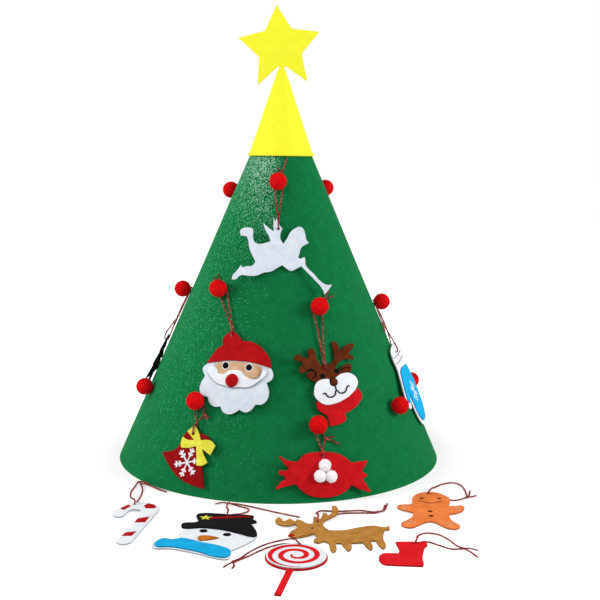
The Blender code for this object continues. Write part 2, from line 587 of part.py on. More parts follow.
def flat_curve(name, outline, size, thickness, resolution=2, hole=None):
    curve = bpy.data.curves.new(name, "CURVE")
    curve.dimensions = "2D"
    curve.fill_mode = "BOTH"
    curve.extrude = thickness / 2
    curve.resolution_u = resolution
    curve.render_resolution_u = 0
    spline = curve.splines.new("BEZIER")
    spline.bezier_points.add(len(outline) - 1)
    for point, (x, y, kind) in zip(spline.bezier_points, outline):
        point.co = (x * size, y * size, 0)
        point.handle_left_type = point.handle_right_type = kind
    spline.use_cyclic_u = True
    if hole is not None:
        ring = curve.splines.new("POLY")
        ring.points.add(hole_sides - 1)
        for index, point in enumerate(ring.points):
            angle = 2 * math.pi * index / hole_sides
            point.co = (hole[0] + hole_radius * math.cos(angle), hole[1] + hole_radius * math.sin(angle),
                        0, 1)
        ring.use_cyclic_u = True
    return curve


def felt_piece(name, outline, size, swing, hole_spot, level, thickness, material, pierced=True,
               resolution=2):
    """A cut shape on its ornament's frame, its outline counted from the thread hole."""
    curve = flat_curve(name, outline, size, thickness, resolution, (0, 0) if pierced else None)
    piece = link(bpy.data.objects.new(name, curve), swing, material)
    piece.location = (hole_spot[0], hole_spot[1], level + thickness / 2)
    return piece


def dome(name, radius, height, swing, spot, level, material):
    """A stuffed felt button: the top of a ball on a flat back."""
    mesh = bpy.data.meshes.new(name)
    builder = bmesh.new()
    bmesh.ops.create_uvsphere(builder, u_segments=dome_sides, v_segments=dome_rings, radius=1)
    bmesh.ops.bisect_plane(builder, geom=builder.verts[:] + builder.edges[:] + builder.faces[:],
                           plane_co=(0, 0, 0), plane_no=(0, 0, 1), clear_inner=True)
    rim = [edge for edge in builder.edges if edge.is_boundary]
    bmesh.ops.edgeloop_fill(builder, edges=rim)
    for vertex in builder.verts:
        vertex.co = Vector((vertex.co.x * radius, vertex.co.y * radius, vertex.co.z * height))
    bmesh.ops.recalc_face_normals(builder, faces=builder.faces)
    builder.to_mesh(mesh)
    builder.free()
    smooth_faces(mesh, 60)
    piece = link(bpy.data.objects.new(name, mesh), swing, material)
    piece.location = (spot[0], spot[1], level)
    return piece


# Threads

def smooth_route(keys):
    """Points on a smooth curve through the keys, closer together where it bends."""
    route = []
    for index in range(len(keys) - 1):
        before = keys[max(index - 1, 0)]
        start, end = keys[index], keys[index + 1]
        after = keys[min(index + 2, len(keys) - 1)]
        reach = (end - start).length
        leave = (end - before).normalized() * reach
        arrive = (after - start).normalized() * reach
        bends = leave.angle(arrive) > math.radians(thread_bend_angle)
        count = max(1, round(reach / (thread_bend_step if bends else thread_run_step)))
        for number in range(count):
            t = number / count
            route.append(start * (2 * t ** 3 - 3 * t ** 2 + 1) + leave * (t ** 3 - 2 * t ** 2 + t)
                         + end * (3 * t ** 2 - 2 * t ** 3) + arrive * (t ** 3 - t ** 2))
    route.append(keys[-1])
    return route


def tube_mesh(name, route):
    """A closed round tube along a route, as a mesh."""
    curve = bpy.data.curves.new(name, "CURVE")
    curve.dimensions = "3D"
    curve.bevel_depth = thread_radius
    curve.bevel_resolution = 2
    curve.use_fill_caps = True
    curve.render_resolution_u = 0
    spline = curve.splines.new("POLY")
    spline.points.add(len(route) - 1)
    for point, spot in zip(spline.points, route):
        point.co = (*spot, 1)
    holder = bpy.data.objects.new(name + "_route", curve)
    tree_collection.objects.link(holder)
    bpy.context.view_layer.update()
    mesh = bpy.data.meshes.new_from_object(holder.evaluated_get(bpy.context.evaluated_depsgraph_get()))
    bpy.data.objects.remove(holder, do_unlink=True)
    builder = bmesh.new()
    builder.from_mesh(mesh)
    bmesh.ops.remove_doubles(builder, verts=builder.verts, dist=0.00001)
    builder.to_mesh(mesh)
    builder.free()
    mesh.name = name
    return mesh


def build_thread(name, swing, keys, knot, tails):
    """A loop from a knot and back to it, with two tails, joined into one strand."""
    side = ((keys[0] - knot).normalized() - (keys[-1] - knot).normalized()).normalized()
    start = knot + side * (knot_spacing / 2)
    end = knot - side * (knot_spacing / 2)
    mesh = tube_mesh(name, smooth_route([start] + keys + [end]))
    thread = link(bpy.data.objects.new(name, mesh), swing, red_thread)
    ball_mesh = bpy.data.meshes.new(name + "_knot")
    builder = bmesh.new()
    bmesh.ops.create_uvsphere(builder, u_segments=knot_sides, v_segments=knot_rings, radius=knot_radius)
    builder.to_mesh(ball_mesh)
    builder.free()
    ball = link(bpy.data.objects.new(name + "_knot", ball_mesh), swing, cutter=True)
    ball.location = knot
    boolean(thread, ball, "UNION")
    for number, tail in enumerate(tails):
        tail_mesh = tube_mesh(f"{name}_tail_{number}", smooth_route([knot] + tail))
        boolean(thread, link(bpy.data.objects.new(f"{name}_tail_{number}", tail_mesh), swing, cutter=True),
                "UNION")
    return thread


def hang_frame(place):
    """A board lies in the plane that touches the wall at its azimuth, and turns at its pompom."""
    pompom, azimuth, _, _ = place
    pompom_azimuth, height_share = pompom_place_shares[pompom]
    foot = wall_frame(pompom_azimuth, height_share * wall_height)
    frame = wall_frame(azimuth, height_share * wall_height)
    out = frame.to_3x3() @ Vector((0, 0, 1))
    depth = (foot.translation - frame.translation).dot(out)
    frame.translation = foot.translation - out * depth
    return frame, foot


def on_wall(frame, x, y, clearance):
    """The point of a hung board's frame at x and y that lies just off the felt."""
    z = 0.0
    for _ in range(6):
        z -= wall_clearance(frame @ Vector((x, y, z))) - clearance
    return Vector((x, y, z))


def hole_turn(hole, level, towards=(0, 1)):
    """The half turn of a thread through a hole, from behind the felt to in front of it."""
    back = level - thread_gap - thread_radius
    middle = back + thread_turn_radius
    along = Vector((towards[0], towards[1], 0))
    keys = []
    for angle in (180, 225, 270, 315, 360):
        turn = math.radians(angle)
        spot = Vector((hole[0], hole[1], 0)) + along * (thread_turn_radius * (hole_pass_share + math.sin(turn)))
        keys.append(spot + Vector((0, 0, middle + thread_turn_radius * math.cos(turn))))
    return keys


def neck_keys(frame, foot, first, last, count):
    """Points round a pompom's foot, clear of the felt and of the ball."""
    keys = []
    for index in range(count):
        angle = math.radians(first + (last - first) * index / (count - 1))
        spot = foot @ Vector((neck_loop_radius * math.cos(angle), neck_loop_radius * math.sin(angle),
                              thread_radius + thread_gap))
        keys.append(frame.inverted() @ spot)
    return keys


def hung_thread(name, swing, frame, foot, hole, edge_above, knot_spot, tails, knot_above,
                slack=0.0024):
    """One loop round the pompom's foot and through the board's hole, whose felt reaches
    edge_above over it. The knot is above the pompom's foot, or below it on the front strand."""
    down = math.degrees(math.atan2(hole[1], hole[0]))
    hand = 1 if knot_spot[0] > hole[0] else -1
    arc = neck_keys(frame, foot, down - hand * 95, down - hand * 265, 7)
    through = hole_turn(hole, board_lift)
    behind = Vector((hole[0], hole[1] + edge_above, board_lift - thread_gap - thread_radius))
    ahead = Vector((hole[0], hole[1] + edge_above, through[-1].z))
    strands = []
    for start, end in ((behind, arc[0]), (ahead, arc[-1])):
        strand = []
        for share in (0.33, 0.67):
            spot = start.lerp(end, share)
            strand.append(on_wall(frame, spot.x, spot.y,
                                  thread_radius + thread_gap + slack * 4 * share * (1 - share)))
        strands.append(strand)
    knot = on_wall(frame, knot_spot[0], knot_spot[1], knot_radius + thread_gap)
    below = [ahead] + through[::-1] + [behind] + strands[0]
    if knot_above:
        keys = arc[3:][1:] + strands[1][::-1] + below + arc[:3]
    else:
        keys = below + arc
    tail_keys = [[on_wall(frame, x, y, z) for x, y, z in tail] for tail in tails]
    return build_thread(name, swing, keys, knot, tail_keys)


# The hung ornaments

def build_angel():
    frame, foot = hang_frame(angel_hang)
    swing = pivot("angel_swing", frame)
    hole = angel_hang[2:]
    felt_piece("angel", angel_outline_shares, angel_size, swing, hole, board_lift, board_felt, white_felt,
               resolution=1)
    hung_thread("angel_thread", swing, frame, foot, hole, 0.0125, (0.0050, 0.0175),
                [[(0.008, 0.026, 0.0022), (0.0125, 0.0425, 0.0016)],
                 [(0.001, 0.022, 0.003), (-0.002, 0.026, 0.003)]], True)


def build_santa():
    frame, foot = hang_frame(santa_hang)
    swing = pivot("santa_swing", frame)
    hole = santa_hang[2:]
    felt_piece("santa_beard", santa_beard_shares, santa_size, swing, hole, board_lift, board_felt, white_felt)
    felt_piece("santa_hat", santa_hat_shares, santa_size, swing, hole, layer_level, layer_felt, red_felt)
    felt_piece("santa_face", santa_face_shares, santa_size, swing, hole, layer_level, layer_felt,
               peach_felt, pierced=False)
    dome("santa_nose", santa_nose_radius, santa_nose_height, swing,
         (hole[0] + santa_nose_shares[0] * santa_size, hole[1] + santa_nose_shares[1] * santa_size),
         layer_top + layer_gap, red_felt)
    hung_thread("santa_thread", swing, frame, foot, hole, 0.0085, (-0.0110, 0.0130),
                [[(-0.016, 0.0165, 0.0026), (-0.0225, 0.0215, 0.003)],
                 [(-0.0115, 0.0190, 0.0032), (-0.014, 0.0255, 0.004)]], True)


def build_deer():
    frame, foot = hang_frame(deer_hang)
    swing = pivot("deer_swing", frame)
    hole = deer_hang[2:]
    felt_piece("deer_head", deer_head_shares, deer_size, swing, hole, board_lift, board_felt, brown_felt,
               resolution=1)
    felt_piece("deer_scarf", deer_scarf_shares, deer_size, swing, hole, board_lift, board_felt,
               red_felt, pierced=False)
    felt_piece("deer_muzzle", deer_muzzle_shares, deer_size, swing, hole, layer_level, layer_felt,
               white_felt, pierced=False)
    hung_thread("deer_thread", swing, frame, foot, hole, 0.0085, (0.0140, 0.0110),
                [[(0.020, 0.0140, 0.0026), (0.0300, 0.0170, 0.003)],
                 [(0.0165, 0.0175, 0.0032), (0.023, 0.0235, 0.004)]], True)


def build_bell():
    frame, foot = hang_frame(bell_hang)
    swing = pivot("bell_swing", frame)
    hole = bell_hang[2:]
    felt_piece("bell", bell_outline_shares, bell_size, swing, hole, board_lift, board_felt, red_felt)
    felt_piece("bell_bow", bell_bow_shares, bell_size, swing, hole, layer_level, layer_felt, yellow_felt)
    hung_thread("bell_thread", swing, frame, foot, hole, 0.0110, (0.0120, -0.0175),
                [[(0.016, -0.020, 0.003), (0.0225, -0.0185, 0.004)],
                 [(0.0165, -0.0155, 0.004), (0.020, -0.0235, 0.0045)]], False)


def build_sweet():
    frame, foot = hang_frame(sweet_hang)
    swing = pivot("sweet_swing", frame)
    hole = sweet_hang[2:]
    felt_piece("sweet", sweet_outline_shares, sweet_size, swing, hole, board_lift, board_felt, red_felt)
    level = board_lift + board_felt + layer_gap
    spots = [(hole[0] + x * sweet_size, hole[1] + y * sweet_size) for x, y in berry_place_shares]
    height = berry_radius * 2 * berry_height_share
    berries = dome("sweet_berries", berry_radius, height, swing, spots[0], level, white_felt)
    for number, spot in enumerate(spots[1:]):
        berry = dome(f"berry_{number}", berry_radius, height, swing, spot, level, white_felt)
        tree_collection.objects.unlink(berry)
        cutter_collection.objects.link(berry)
        berry.hide_render = True
        berry.display_type = "WIRE"
        boolean(berries, berry, "UNION")
    hung_thread("sweet_thread", swing, frame, foot, hole, 0.0080, (0.0100, -0.0190),
                [[(0.019, -0.021, 0.003), (0.0310, -0.0275, 0.004)],
                 [(0.016, -0.017, 0.004), (0.0235, -0.0165, 0.0045)]], False)


def build_fir():
    frame, foot = hang_frame(fir_hang)
    swing = pivot("fir_swing", frame)
    hole = fir_hang[2:]
    outline = fir_half_shares + [(-x, y, kind) for x, y, kind in reversed(fir_half_shares[1:])]
    felt_piece("fir", outline, fir_size, swing, hole, board_lift, board_felt, fir_felt, resolution=1)
    hung_thread("fir_thread", swing, frame, foot, hole, 0.0120, (0.0120, -0.0400),
                [[(0.016, -0.048, 0.003), (0.0175, -0.0600, 0.004)],
                 [(0.0185, -0.044, 0.004), (0.0225, -0.0550, 0.0045)]], False)


def build_mitten():
    frame, foot = hang_frame(mitten_hang)
    swing = pivot("mitten_swing", frame)
    hole = mitten_hang[2:]
    felt_piece("mitten_back", mitten_back_shares, mitten_size, swing, hole, board_lift, board_felt, white_felt)
    felt_piece("mitten_front", mitten_front_shares, mitten_size, swing, hole, layer_level, layer_felt,
               blue_felt, pierced=False)
    hung_thread("mitten_thread", swing, frame, foot, hole, 0.0095, (-0.0220, -0.0300),
                [[(-0.028, -0.034, 0.003), (-0.0350, -0.0420, 0.004)],
                 [(-0.027, -0.028, 0.004), (-0.0360, -0.0325, 0.0045)]], False)


# The loose ornaments, each leaning on its own thread

def laid_frame(place, outline, size, lean_angle):
    """The felt rests on its far end and, at its hole, on the thread that passes under it."""
    lean = math.radians(lean_angle)
    away = Vector((math.cos(lean), math.sin(lean), 0))
    reach = max(x * size * away.x + y * size * away.y for x, y, _ in outline)
    tilt = math.asin((board_lift - fit_gap) / reach)
    turned = Matrix.Rotation(math.radians(place[2]), 4, "Z")
    leaning = Matrix.Rotation(tilt, 4, Vector((-away.y, away.x, 0)))
    frame = Matrix.Translation(tree_axis + Vector((place[0], place[1], board_lift))) @ turned @ leaning
    return frame


def floor_keys(frame, spots):
    """Floor places from the tree's axis, with the height of the thread's middle where it rises."""
    keys = []
    for spot in spots:
        height = spot[2] if len(spot) > 2 else thread_radius + thread_gap
        keys.append(frame.inverted() @ (tree_axis + Vector((spot[0], spot[1], height))))
    return keys


def laid_thread(name, lift, frame, towards, over, under, knot_spot, tails):
    """A loop through the hole: under the felt's edge one way, over its face the other."""
    through = hole_turn((0, 0), 0, towards)
    keys = floor_keys(frame, over)[::-1] + through[::-1] + floor_keys(frame, under)
    knot = floor_keys(frame, [(*knot_spot, knot_radius + fit_gap)])[0]
    return build_thread(name, lift, keys, knot, [floor_keys(frame, tail) for tail in tails])


def build_cane():
    frame = laid_frame(cane_place, cane_outline_shares, cane_size, -95)
    lift = pivot("cane_lift", frame)
    felt_piece("candy_cane", cane_outline_shares, cane_size, lift, (0, 0), 0, board_felt, white_felt,
               resolution=1)
    laid_thread("candy_cane_thread", lift, frame, (0, 1),
                [(-0.1900, -0.2530, 0.0058), (-0.1970, -0.2380, 0.0030), (-0.2010, -0.2100), (-0.1995, -0.1860)],
                [(-0.1865, -0.2530), (-0.1850, -0.2350), (-0.1860, -0.2050), (-0.1905, -0.1840)],
                (-0.1965, -0.170),
                [[(-0.190, -0.1655), (-0.178, -0.182), (-0.152, -0.2085)],
                 [(-0.193, -0.175, 0.0024), (-0.184, -0.181, 0.0030), (-0.160, -0.206, 0.0028)]])


def build_snowman():
    frame = laid_frame(snowman_place, snowman_head_shares, snowman_size, -80)
    lift = pivot("snowman_lift", frame)
    felt_piece("snowman_head", snowman_head_shares, snowman_size, lift, (0, 0), 0, board_felt, white_felt)
    level = board_felt + layer_gap
    felt_piece("snowman_hat", snowman_hat_shares, snowman_size, lift, (0, 0), level, layer_felt, black_felt)
    felt_piece("snowman_scarf", snowman_scarf_shares, snowman_size, lift, (0, 0), level, layer_felt,
               blue_felt, pierced=False)
    laid_thread("snowman_thread", lift, frame, (0, 1),
                [(-0.0598, -0.3005, 0.0082), (-0.0605, -0.2840, 0.0030), (-0.0640, -0.2645)],
                [(-0.0572, -0.2990), (-0.0440, -0.2930), (-0.0345, -0.2840), (-0.0350, -0.2740),
                 (-0.0420, -0.2675), (-0.0520, -0.2600)],
                (-0.062, -0.2560),
                [[(-0.045, -0.262, 0.0030), (-0.020, -0.272), (0.010, -0.290), (0.034, -0.303)],
                 [(-0.072, -0.2520, 0.0020), (-0.080, -0.2560)]])


def build_lolly():
    stick_half = lolly_stick_width / 2
    top = lolly_disc_radius - lolly_hole_margin
    outline = []
    for index in range(lolly_disc_points):
        angle = math.radians(-90) + 2 * math.pi * (index + 0.5) / lolly_disc_points
        outline.append((lolly_disc_radius * math.cos(angle), lolly_disc_radius * math.sin(angle) - top, R))
    outline += [(-stick_half, -math.sqrt(lolly_disc_radius ** 2 - stick_half ** 2) - top, C),
                (-stick_half, -lolly_stick_length - top, C), (stick_half, -lolly_stick_length - top, C),
                (stick_half, -math.sqrt(lolly_disc_radius ** 2 - stick_half ** 2) - top, C)]
    turn = math.radians(lolly_place[2])
    hole_spot = (lolly_place[0] - top * math.sin(turn), lolly_place[1] + top * math.cos(turn), lolly_place[2])
    frame = laid_frame(hole_spot, outline, 1.0, -90)
    lift = pivot("lolly_lift", frame)
    felt_piece("lollipop", outline, 1.0, lift, (0, 0), 0, board_felt, red_felt, resolution=2)
    face_radius = lolly_disc_radius - lolly_rim
    face = [(face_radius * math.cos(2 * math.pi * index / lolly_disc_points),
             face_radius * math.sin(2 * math.pi * index / lolly_disc_points) - top, R)
            for index in range(lolly_disc_points)]
    felt_piece("lollipop_face", face, 1.0, lift, (0, 0), board_felt + layer_gap, layer_felt, white_felt)
    laid_thread("lollipop_thread", lift, frame, (math.cos(math.radians(128)), math.sin(math.radians(128))),
                [(0.026, -0.391, 0.006), (0.012, -0.384), (-0.006, -0.397), (-0.024, -0.420), (-0.036, -0.443)],
                [(0.023, -0.396), (0.006, -0.400), (-0.012, -0.417), (-0.028, -0.438), (-0.038, -0.449)],
                (-0.043, -0.4560),
                [[(-0.049, -0.4610), (-0.053, -0.4680)], [(-0.041, -0.4640), (-0.043, -0.4710)]])


def build_reindeer():
    frame = laid_frame(reindeer_place, reindeer_outline_shares, reindeer_size, -90)
    lift = pivot("reindeer_lift", frame)
    felt_piece("reindeer", reindeer_outline_shares, reindeer_size, lift, (0, 0), 0, board_felt, tan_felt,
               resolution=1)
    laid_thread("reindeer_thread", lift, frame, (0, 1),
                [(0.0580, -0.3060, 0.0065), (0.0555, -0.2930, 0.0030), (0.0620, -0.2790),
                 (0.0757, -0.2795), (0.0890, -0.2795), (0.1155, -0.2756), (0.1320, -0.2810)],
                [(0.0620, -0.3130), (0.0730, -0.3000), (0.0886, -0.2885), (0.1150, -0.2850),
                 (0.1320, -0.2850)],
                (0.1390, -0.2830),
                [[(0.1440, -0.2760), (0.1490, -0.2540)],
                 [(0.1455, -0.2790, 0.0026), (0.1525, -0.2480)]])


def build_ginger():
    frame = laid_frame(ginger_place, ginger_outline_shares, ginger_size, -90)
    lift = pivot("ginger_lift", frame)
    felt_piece("gingerbread_man", ginger_outline_shares, ginger_size, lift, (0, 0), 0, board_felt, orange_felt,
               resolution=1)
    laid_thread("gingerbread_thread", lift, frame, (math.cos(math.radians(50)), math.sin(math.radians(50))),
                [(0.2190, -0.1960, 0.0060), (0.2270, -0.1757), (0.2400, -0.1620), (0.2560, -0.1560),
                 (0.2650, -0.1680), (0.2670, -0.1900), (0.2660, -0.2080)],
                [(0.2230, -0.2080), (0.2340, -0.2210), (0.2420, -0.2310), (0.2520, -0.2295)],
                (0.2640, -0.2230),
                [[(0.2700, -0.2080), (0.2740, -0.1903)], [(0.2715, -0.2190, 0.0024), (0.2795, -0.2110)]])


def build_stocking():
    frame = laid_frame(stocking_place, stocking_outline_shares, stocking_size, -110)
    lift = pivot("stocking_lift", frame)
    felt_piece("stocking", stocking_outline_shares, stocking_size, lift, (0, 0), 0, board_felt, red_felt,
               resolution=1)
    laid_thread("stocking_thread", lift, frame, (math.cos(math.radians(65)), math.sin(math.radians(65))),
                [(0.1790, -0.3800, 0.006), (0.1800, -0.3660), (0.1900, -0.3560), (0.2060, -0.3590),
                 (0.2175, -0.3770), (0.2250, -0.3970)],
                [(0.1835, -0.3850), (0.1920, -0.3850), (0.2030, -0.3950), (0.2170, -0.4065)],
                (0.2310, -0.4080),
                [[(0.2380, -0.4150), (0.2440, -0.4310)], [(0.2385, -0.4070, 0.0024), (0.2480, -0.4100)]])


build_wall()
build_tapes()
build_pompoms()
cap_lift = pivot("cap_lift", Matrix.Translation(tree_axis))
build_cap(cap_lift)
build_star(cap_lift)
build_angel()
build_santa()
build_deer()
build_bell()
build_sweet()
build_fir()
build_mitten()
build_cane()
build_snowman()
build_lolly()
build_reindeer()
build_ginger()
build_stocking()
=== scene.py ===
# Felt christmas tree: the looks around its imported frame

import json
import math

import bmesh
import bpy
from mathutils import Matrix, Vector, noise


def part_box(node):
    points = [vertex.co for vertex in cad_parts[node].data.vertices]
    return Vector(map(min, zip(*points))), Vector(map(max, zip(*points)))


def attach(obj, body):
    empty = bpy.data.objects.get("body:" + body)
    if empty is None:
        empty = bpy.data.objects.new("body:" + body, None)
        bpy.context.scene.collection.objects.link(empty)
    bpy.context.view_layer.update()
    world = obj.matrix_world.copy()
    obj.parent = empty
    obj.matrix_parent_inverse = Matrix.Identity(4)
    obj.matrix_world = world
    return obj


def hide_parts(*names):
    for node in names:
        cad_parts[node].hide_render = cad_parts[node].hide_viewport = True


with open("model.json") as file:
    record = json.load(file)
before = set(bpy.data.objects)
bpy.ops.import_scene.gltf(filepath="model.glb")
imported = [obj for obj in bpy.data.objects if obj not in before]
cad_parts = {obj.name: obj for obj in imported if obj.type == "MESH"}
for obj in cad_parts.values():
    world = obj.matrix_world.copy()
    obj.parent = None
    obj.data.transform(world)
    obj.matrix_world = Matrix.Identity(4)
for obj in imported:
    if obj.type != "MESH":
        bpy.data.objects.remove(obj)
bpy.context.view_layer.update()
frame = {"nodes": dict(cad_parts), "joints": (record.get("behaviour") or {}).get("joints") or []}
scene = bpy.context.scene
scene.view_settings.view_transform = "Standard"
mm = 0.001


def writeSizes():
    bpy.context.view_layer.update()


writeSizes()
print("frame loaded:", len(frame["nodes"]), "nodes")


# Small helpers for objects and meshes

def addObject(name, data):
    thing = bpy.data.objects.new(name, data)
    scene.collection.objects.link(thing)
    return thing


def newMesh(name, builder):
    mesh = bpy.data.meshes.new(name)
    builder.to_mesh(mesh)
    builder.free()
    return mesh


def newCurve(name, **settings):
    curve = bpy.data.curves.new(name, "CURVE")
    for key, value in settings.items():
        setattr(curve, key, value)
    return curve


def addModifier(thing, kind, **settings):
    modifier = thing.modifiers.new(kind.lower(), kind)
    for key, value in settings.items():
        setattr(modifier, key, value)
    return modifier


def evaluatedMesh(thing, matrix=None, merged=True):
    # what a curve or a modified object shows, as a bmesh with its faces outwards
    bpy.context.view_layer.update()
    mesh = bpy.data.meshes.new_from_object(thing.evaluated_get(bpy.context.evaluated_depsgraph_get()))
    bpy.data.objects.remove(thing, do_unlink=True)
    builder = bmesh.new()
    builder.from_mesh(mesh)
    bpy.data.meshes.remove(mesh)
    if merged:
        bmesh.ops.remove_doubles(builder, verts=builder.verts, dist=1e-6)
        bmesh.ops.recalc_face_normals(builder, faces=builder.faces)
    if matrix is not None:
        builder.transform(matrix)
    return builder


def nodeMesh(node, matrix=None):
    # a merged copy of a CAD node's mesh
    builder = bmesh.new()
    builder.from_mesh(frame["nodes"][node].data)
    bmesh.ops.remove_doubles(builder, verts=builder.verts, dist=1e-5)
    if matrix is not None:
        builder.transform(matrix)
    return builder


# Camera, at the photograph's height and tilt

camera = {
    "side": 0.0313,         # from the tree's axis
    "distance": 1.5779,
    "height": 0.4689,
    "pitchDown": 8.126,
    "roll": 0.59,
    "lens": 61.2,
}
capLow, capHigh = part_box("star_cap")
treeAxis = Vector(((capLow.x + capHigh.x) / 2, (capLow.y + capHigh.y) / 2, 0))


def makeCamera():
    data = bpy.data.cameras.new("camera")
    data.sensor_width = 36
    data.lens = camera["lens"]
    data.clip_end = 30
    eye = addObject("camera", data)
    eye.location = treeAxis + Vector((camera["side"], -camera["distance"], camera["height"]))
    turn = Matrix.Rotation(math.radians(90 - camera["pitchDown"]), 4, "X")
    eye.rotation_euler = (turn @ Matrix.Rotation(math.radians(camera["roll"]), 4, "Z")).to_euler()
    scene.camera = eye


makeCamera()


# Materials

slotOf = {}     # the CAD slot that each material stands for


def hexLinear(code):
    values = [int(code[k:k + 2], 16) / 255 for k in (1, 3, 5)]
    return tuple(v / 12.92 if v <= 0.04045 else ((v + 0.055) / 1.055) ** 2.4 for v in values) + (1.0,)


def addNode(tree, kind, settings=None):
    # settings go by an input's name or number, or by a property's name; a socket is linked
    node = tree.nodes.new(kind)
    for key, value in (settings or {}).items():
        if isinstance(value, bpy.types.NodeSocket):
            tree.links.new(value, node.inputs[key])
        elif isinstance(key, int) or key in node.inputs:
            node.inputs[key].default_value = value
        else:
            setattr(node, key, value)
    return node


def newMaterial(name, slot, finish):
    material = bpy.data.materials.new(name)
    material.use_nodes = True
    slotOf[material.name] = slot
    tree = material.node_tree
    shader = tree.nodes["Principled BSDF"]
    for key, value in finish.items():
        shader.inputs[key].default_value = value
    return material, tree, shader, addNode(tree, "ShaderNodeTexCoord").outputs["Object"]


def covered(tree, under, over, pattern, span=(0, 1), share=1.0):
    # one colour over another, as a pattern goes from the span's first value to its last
    ramp = addNode(tree, "ShaderNodeMapRange",
                   {"From Min": span[0], "From Max": span[1], "To Max": share, "Value": pattern})
    first, second = (hexLinear(colour) if isinstance(colour, str) else colour for colour in (under, over))
    return addNode(tree, "ShaderNodeMix",
                   {"data_type": "RGBA", 0: ramp.outputs["Result"], 6: first, 7: second}).outputs[2]


feltPattern = {
    "bunchScale": 90.0,         # the fibres bunch every 11 mm
    "bunches": (0.35, 0.68),    # from the shaded hollows to the full colour
    "ends": (0.52, 0.74),       # where the pale fibre ends begin and are whole
    "packed": 0.42,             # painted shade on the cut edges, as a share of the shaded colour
    "edgeShare": 0.62,          # how far that painted shade covers a cut edge
    "bump": 0.6,
    "bumpDepth": 0.0004,
}


def packed(code):
    # the same colour darkened, as painted shade for the cut edges
    values = [round(int(code[k:k + 2], 16) * feltPattern["packed"]) for k in (1, 3, 5)]
    return "#" + "".join(f"{value:02x}" for value in values)


def feltMaterial(name, slot, main, shade, light, flecks=0.25, sheen=0.04, fibre=620.0):
    # Needle-punched polyester felt: matt, mottled where the fibres bunch, pale fibre ends on top, painted
    # shade on its cut edges.
    # The fibres are drawn 1.6 mm apart, coarser than real, so that they show from a step away.
    material, tree, shader, place = newMaterial(name, slot, {
        "Roughness": 0.95, "Specular IOR Level": 0.1,
        "Sheen Weight": sheen, "Sheen Roughness": 0.4, "Sheen Tint": hexLinear(light)})
    bunches = addNode(tree, "ShaderNodeTexNoise",
                      {"Scale": feltPattern["bunchScale"], "Detail": 3.0, "Vector": place}).outputs["Fac"]
    fibres = addNode(tree, "ShaderNodeTexNoise", {"Scale": fibre, "Detail": 4.0, "Roughness": 0.72,
                                                  "Distortion": 1.6, "Vector": place}).outputs["Fac"]
    mottled = covered(tree, shade, main, bunches, feltPattern["bunches"])
    fluffed = covered(tree, mottled, light, fibres, feltPattern["ends"], flecks)
    # painted shade: the cut edges, which turn away from the lamps, are darkened towards a deeper colour
    edge = addNode(tree, "ShaderNodeAttribute", {"attribute_name": "cutEdge"}).outputs["Fac"]
    colour = covered(tree, fluffed, packed(shade), edge, share=feltPattern["edgeShare"])
    tree.links.new(colour, shader.inputs["Base Color"])
    relief = addNode(tree, "ShaderNodeBump", {"Strength": feltPattern["bump"],
                                              "Distance": feltPattern["bumpDepth"], "Height": fibres})
    tree.links.new(relief.outputs["Normal"], shader.inputs["Normal"])
    return material


# Painted highlights on the tree's felt: bright dots, placed by the felt's own coordinates on its upper and
# lower left
paintedGlints = {
    "scale": 780.0,         # cells of 1.3 mm, each with a fibre end in it that may carry a painted glint
    "dot": (0.66, 0.34),    # from the edge of a lit dot to its middle
    "colour": "#63d196",
    "topColour": "#c9f5dd",
    "side": [("X", -0.01, -0.13), ("Z", 0.0, 0.30)],    # the patch grows from the first place to the last
    "nearTop": [("X", 0.008, -0.012), ("Z", 0.30, 0.44), ("X", -0.10, -0.03)],
    "share": 0.002,         # of the fibre ends that get a painted glint, and what each patch adds
    "sideShare": 0.24,
    "topShare": 0.52,
    "glint": 0.50,
    "topGlint": 0.26,
}


def treeFelt():
    # Thick green felt with glossy stray fibres, and painted highlights: bright dots where they would
    # glitter on its upper left and lower left side in the light
    material = feltMaterial("green_needle_felt", "green_felt", "#0a703c", "#086736", "#1f9158",
                            0.4, 0.15, 900.0)
    tree = material.node_tree
    shader = tree.nodes["Principled BSDF"]
    felt = shader.inputs["Base Color"].links[0].from_socket
    place = addNode(tree, "ShaderNodeTexCoord").outputs["Object"]
    axes = addNode(tree, "ShaderNodeSeparateXYZ", {"Vector": place}).outputs

    def inside(patch):
        share = 1.0
        for axis, low, high in patch:
            ramp = addNode(tree, "ShaderNodeMapRange",
                           {"From Min": low, "From Max": high, "Value": axes[axis]})
            both = {"operation": "MULTIPLY", 0: share, 1: ramp.outputs["Result"]}
            share = addNode(tree, "ShaderNodeMath", both).outputs[0]
        return share

    side, nearTop = inside(paintedGlints["side"]), inside(paintedGlints["nearTop"])
    sums = {"operation": "MULTIPLY_ADD", 0: side, 1: paintedGlints["sideShare"], 2: paintedGlints["share"]}
    sideShare = addNode(tree, "ShaderNodeMath", sums).outputs[0]
    sums = {"operation": "MULTIPLY_ADD", 0: nearTop, 1: paintedGlints["topShare"], 2: sideShare}
    share = addNode(tree, "ShaderNodeMath", sums).outputs[0]
    sums = {"operation": "MULTIPLY_ADD", 0: nearTop, 1: paintedGlints["topGlint"], 2: paintedGlints["glint"]}
    glint = addNode(tree, "ShaderNodeMath", sums).outputs[0]
    cells = addNode(tree, "ShaderNodeTexVoronoi", {"Scale": paintedGlints["scale"], "Vector": place}).outputs
    chance = addNode(tree, "ShaderNodeSeparateColor", {0: cells["Color"]}).outputs[0]
    lit = addNode(tree, "ShaderNodeMath", {"operation": "LESS_THAN", 0: chance, 1: share}).outputs[0]
    strength = addNode(tree, "ShaderNodeMath", {"operation": "MULTIPLY", 0: lit, 1: glint}).outputs[0]
    tint = covered(tree, paintedGlints["colour"], paintedGlints["topColour"], nearTop)
    colour = covered(tree, felt, tint, cells["Distance"], paintedGlints["dot"], strength)
    tree.links.new(colour, shader.inputs["Base Color"])
    return material


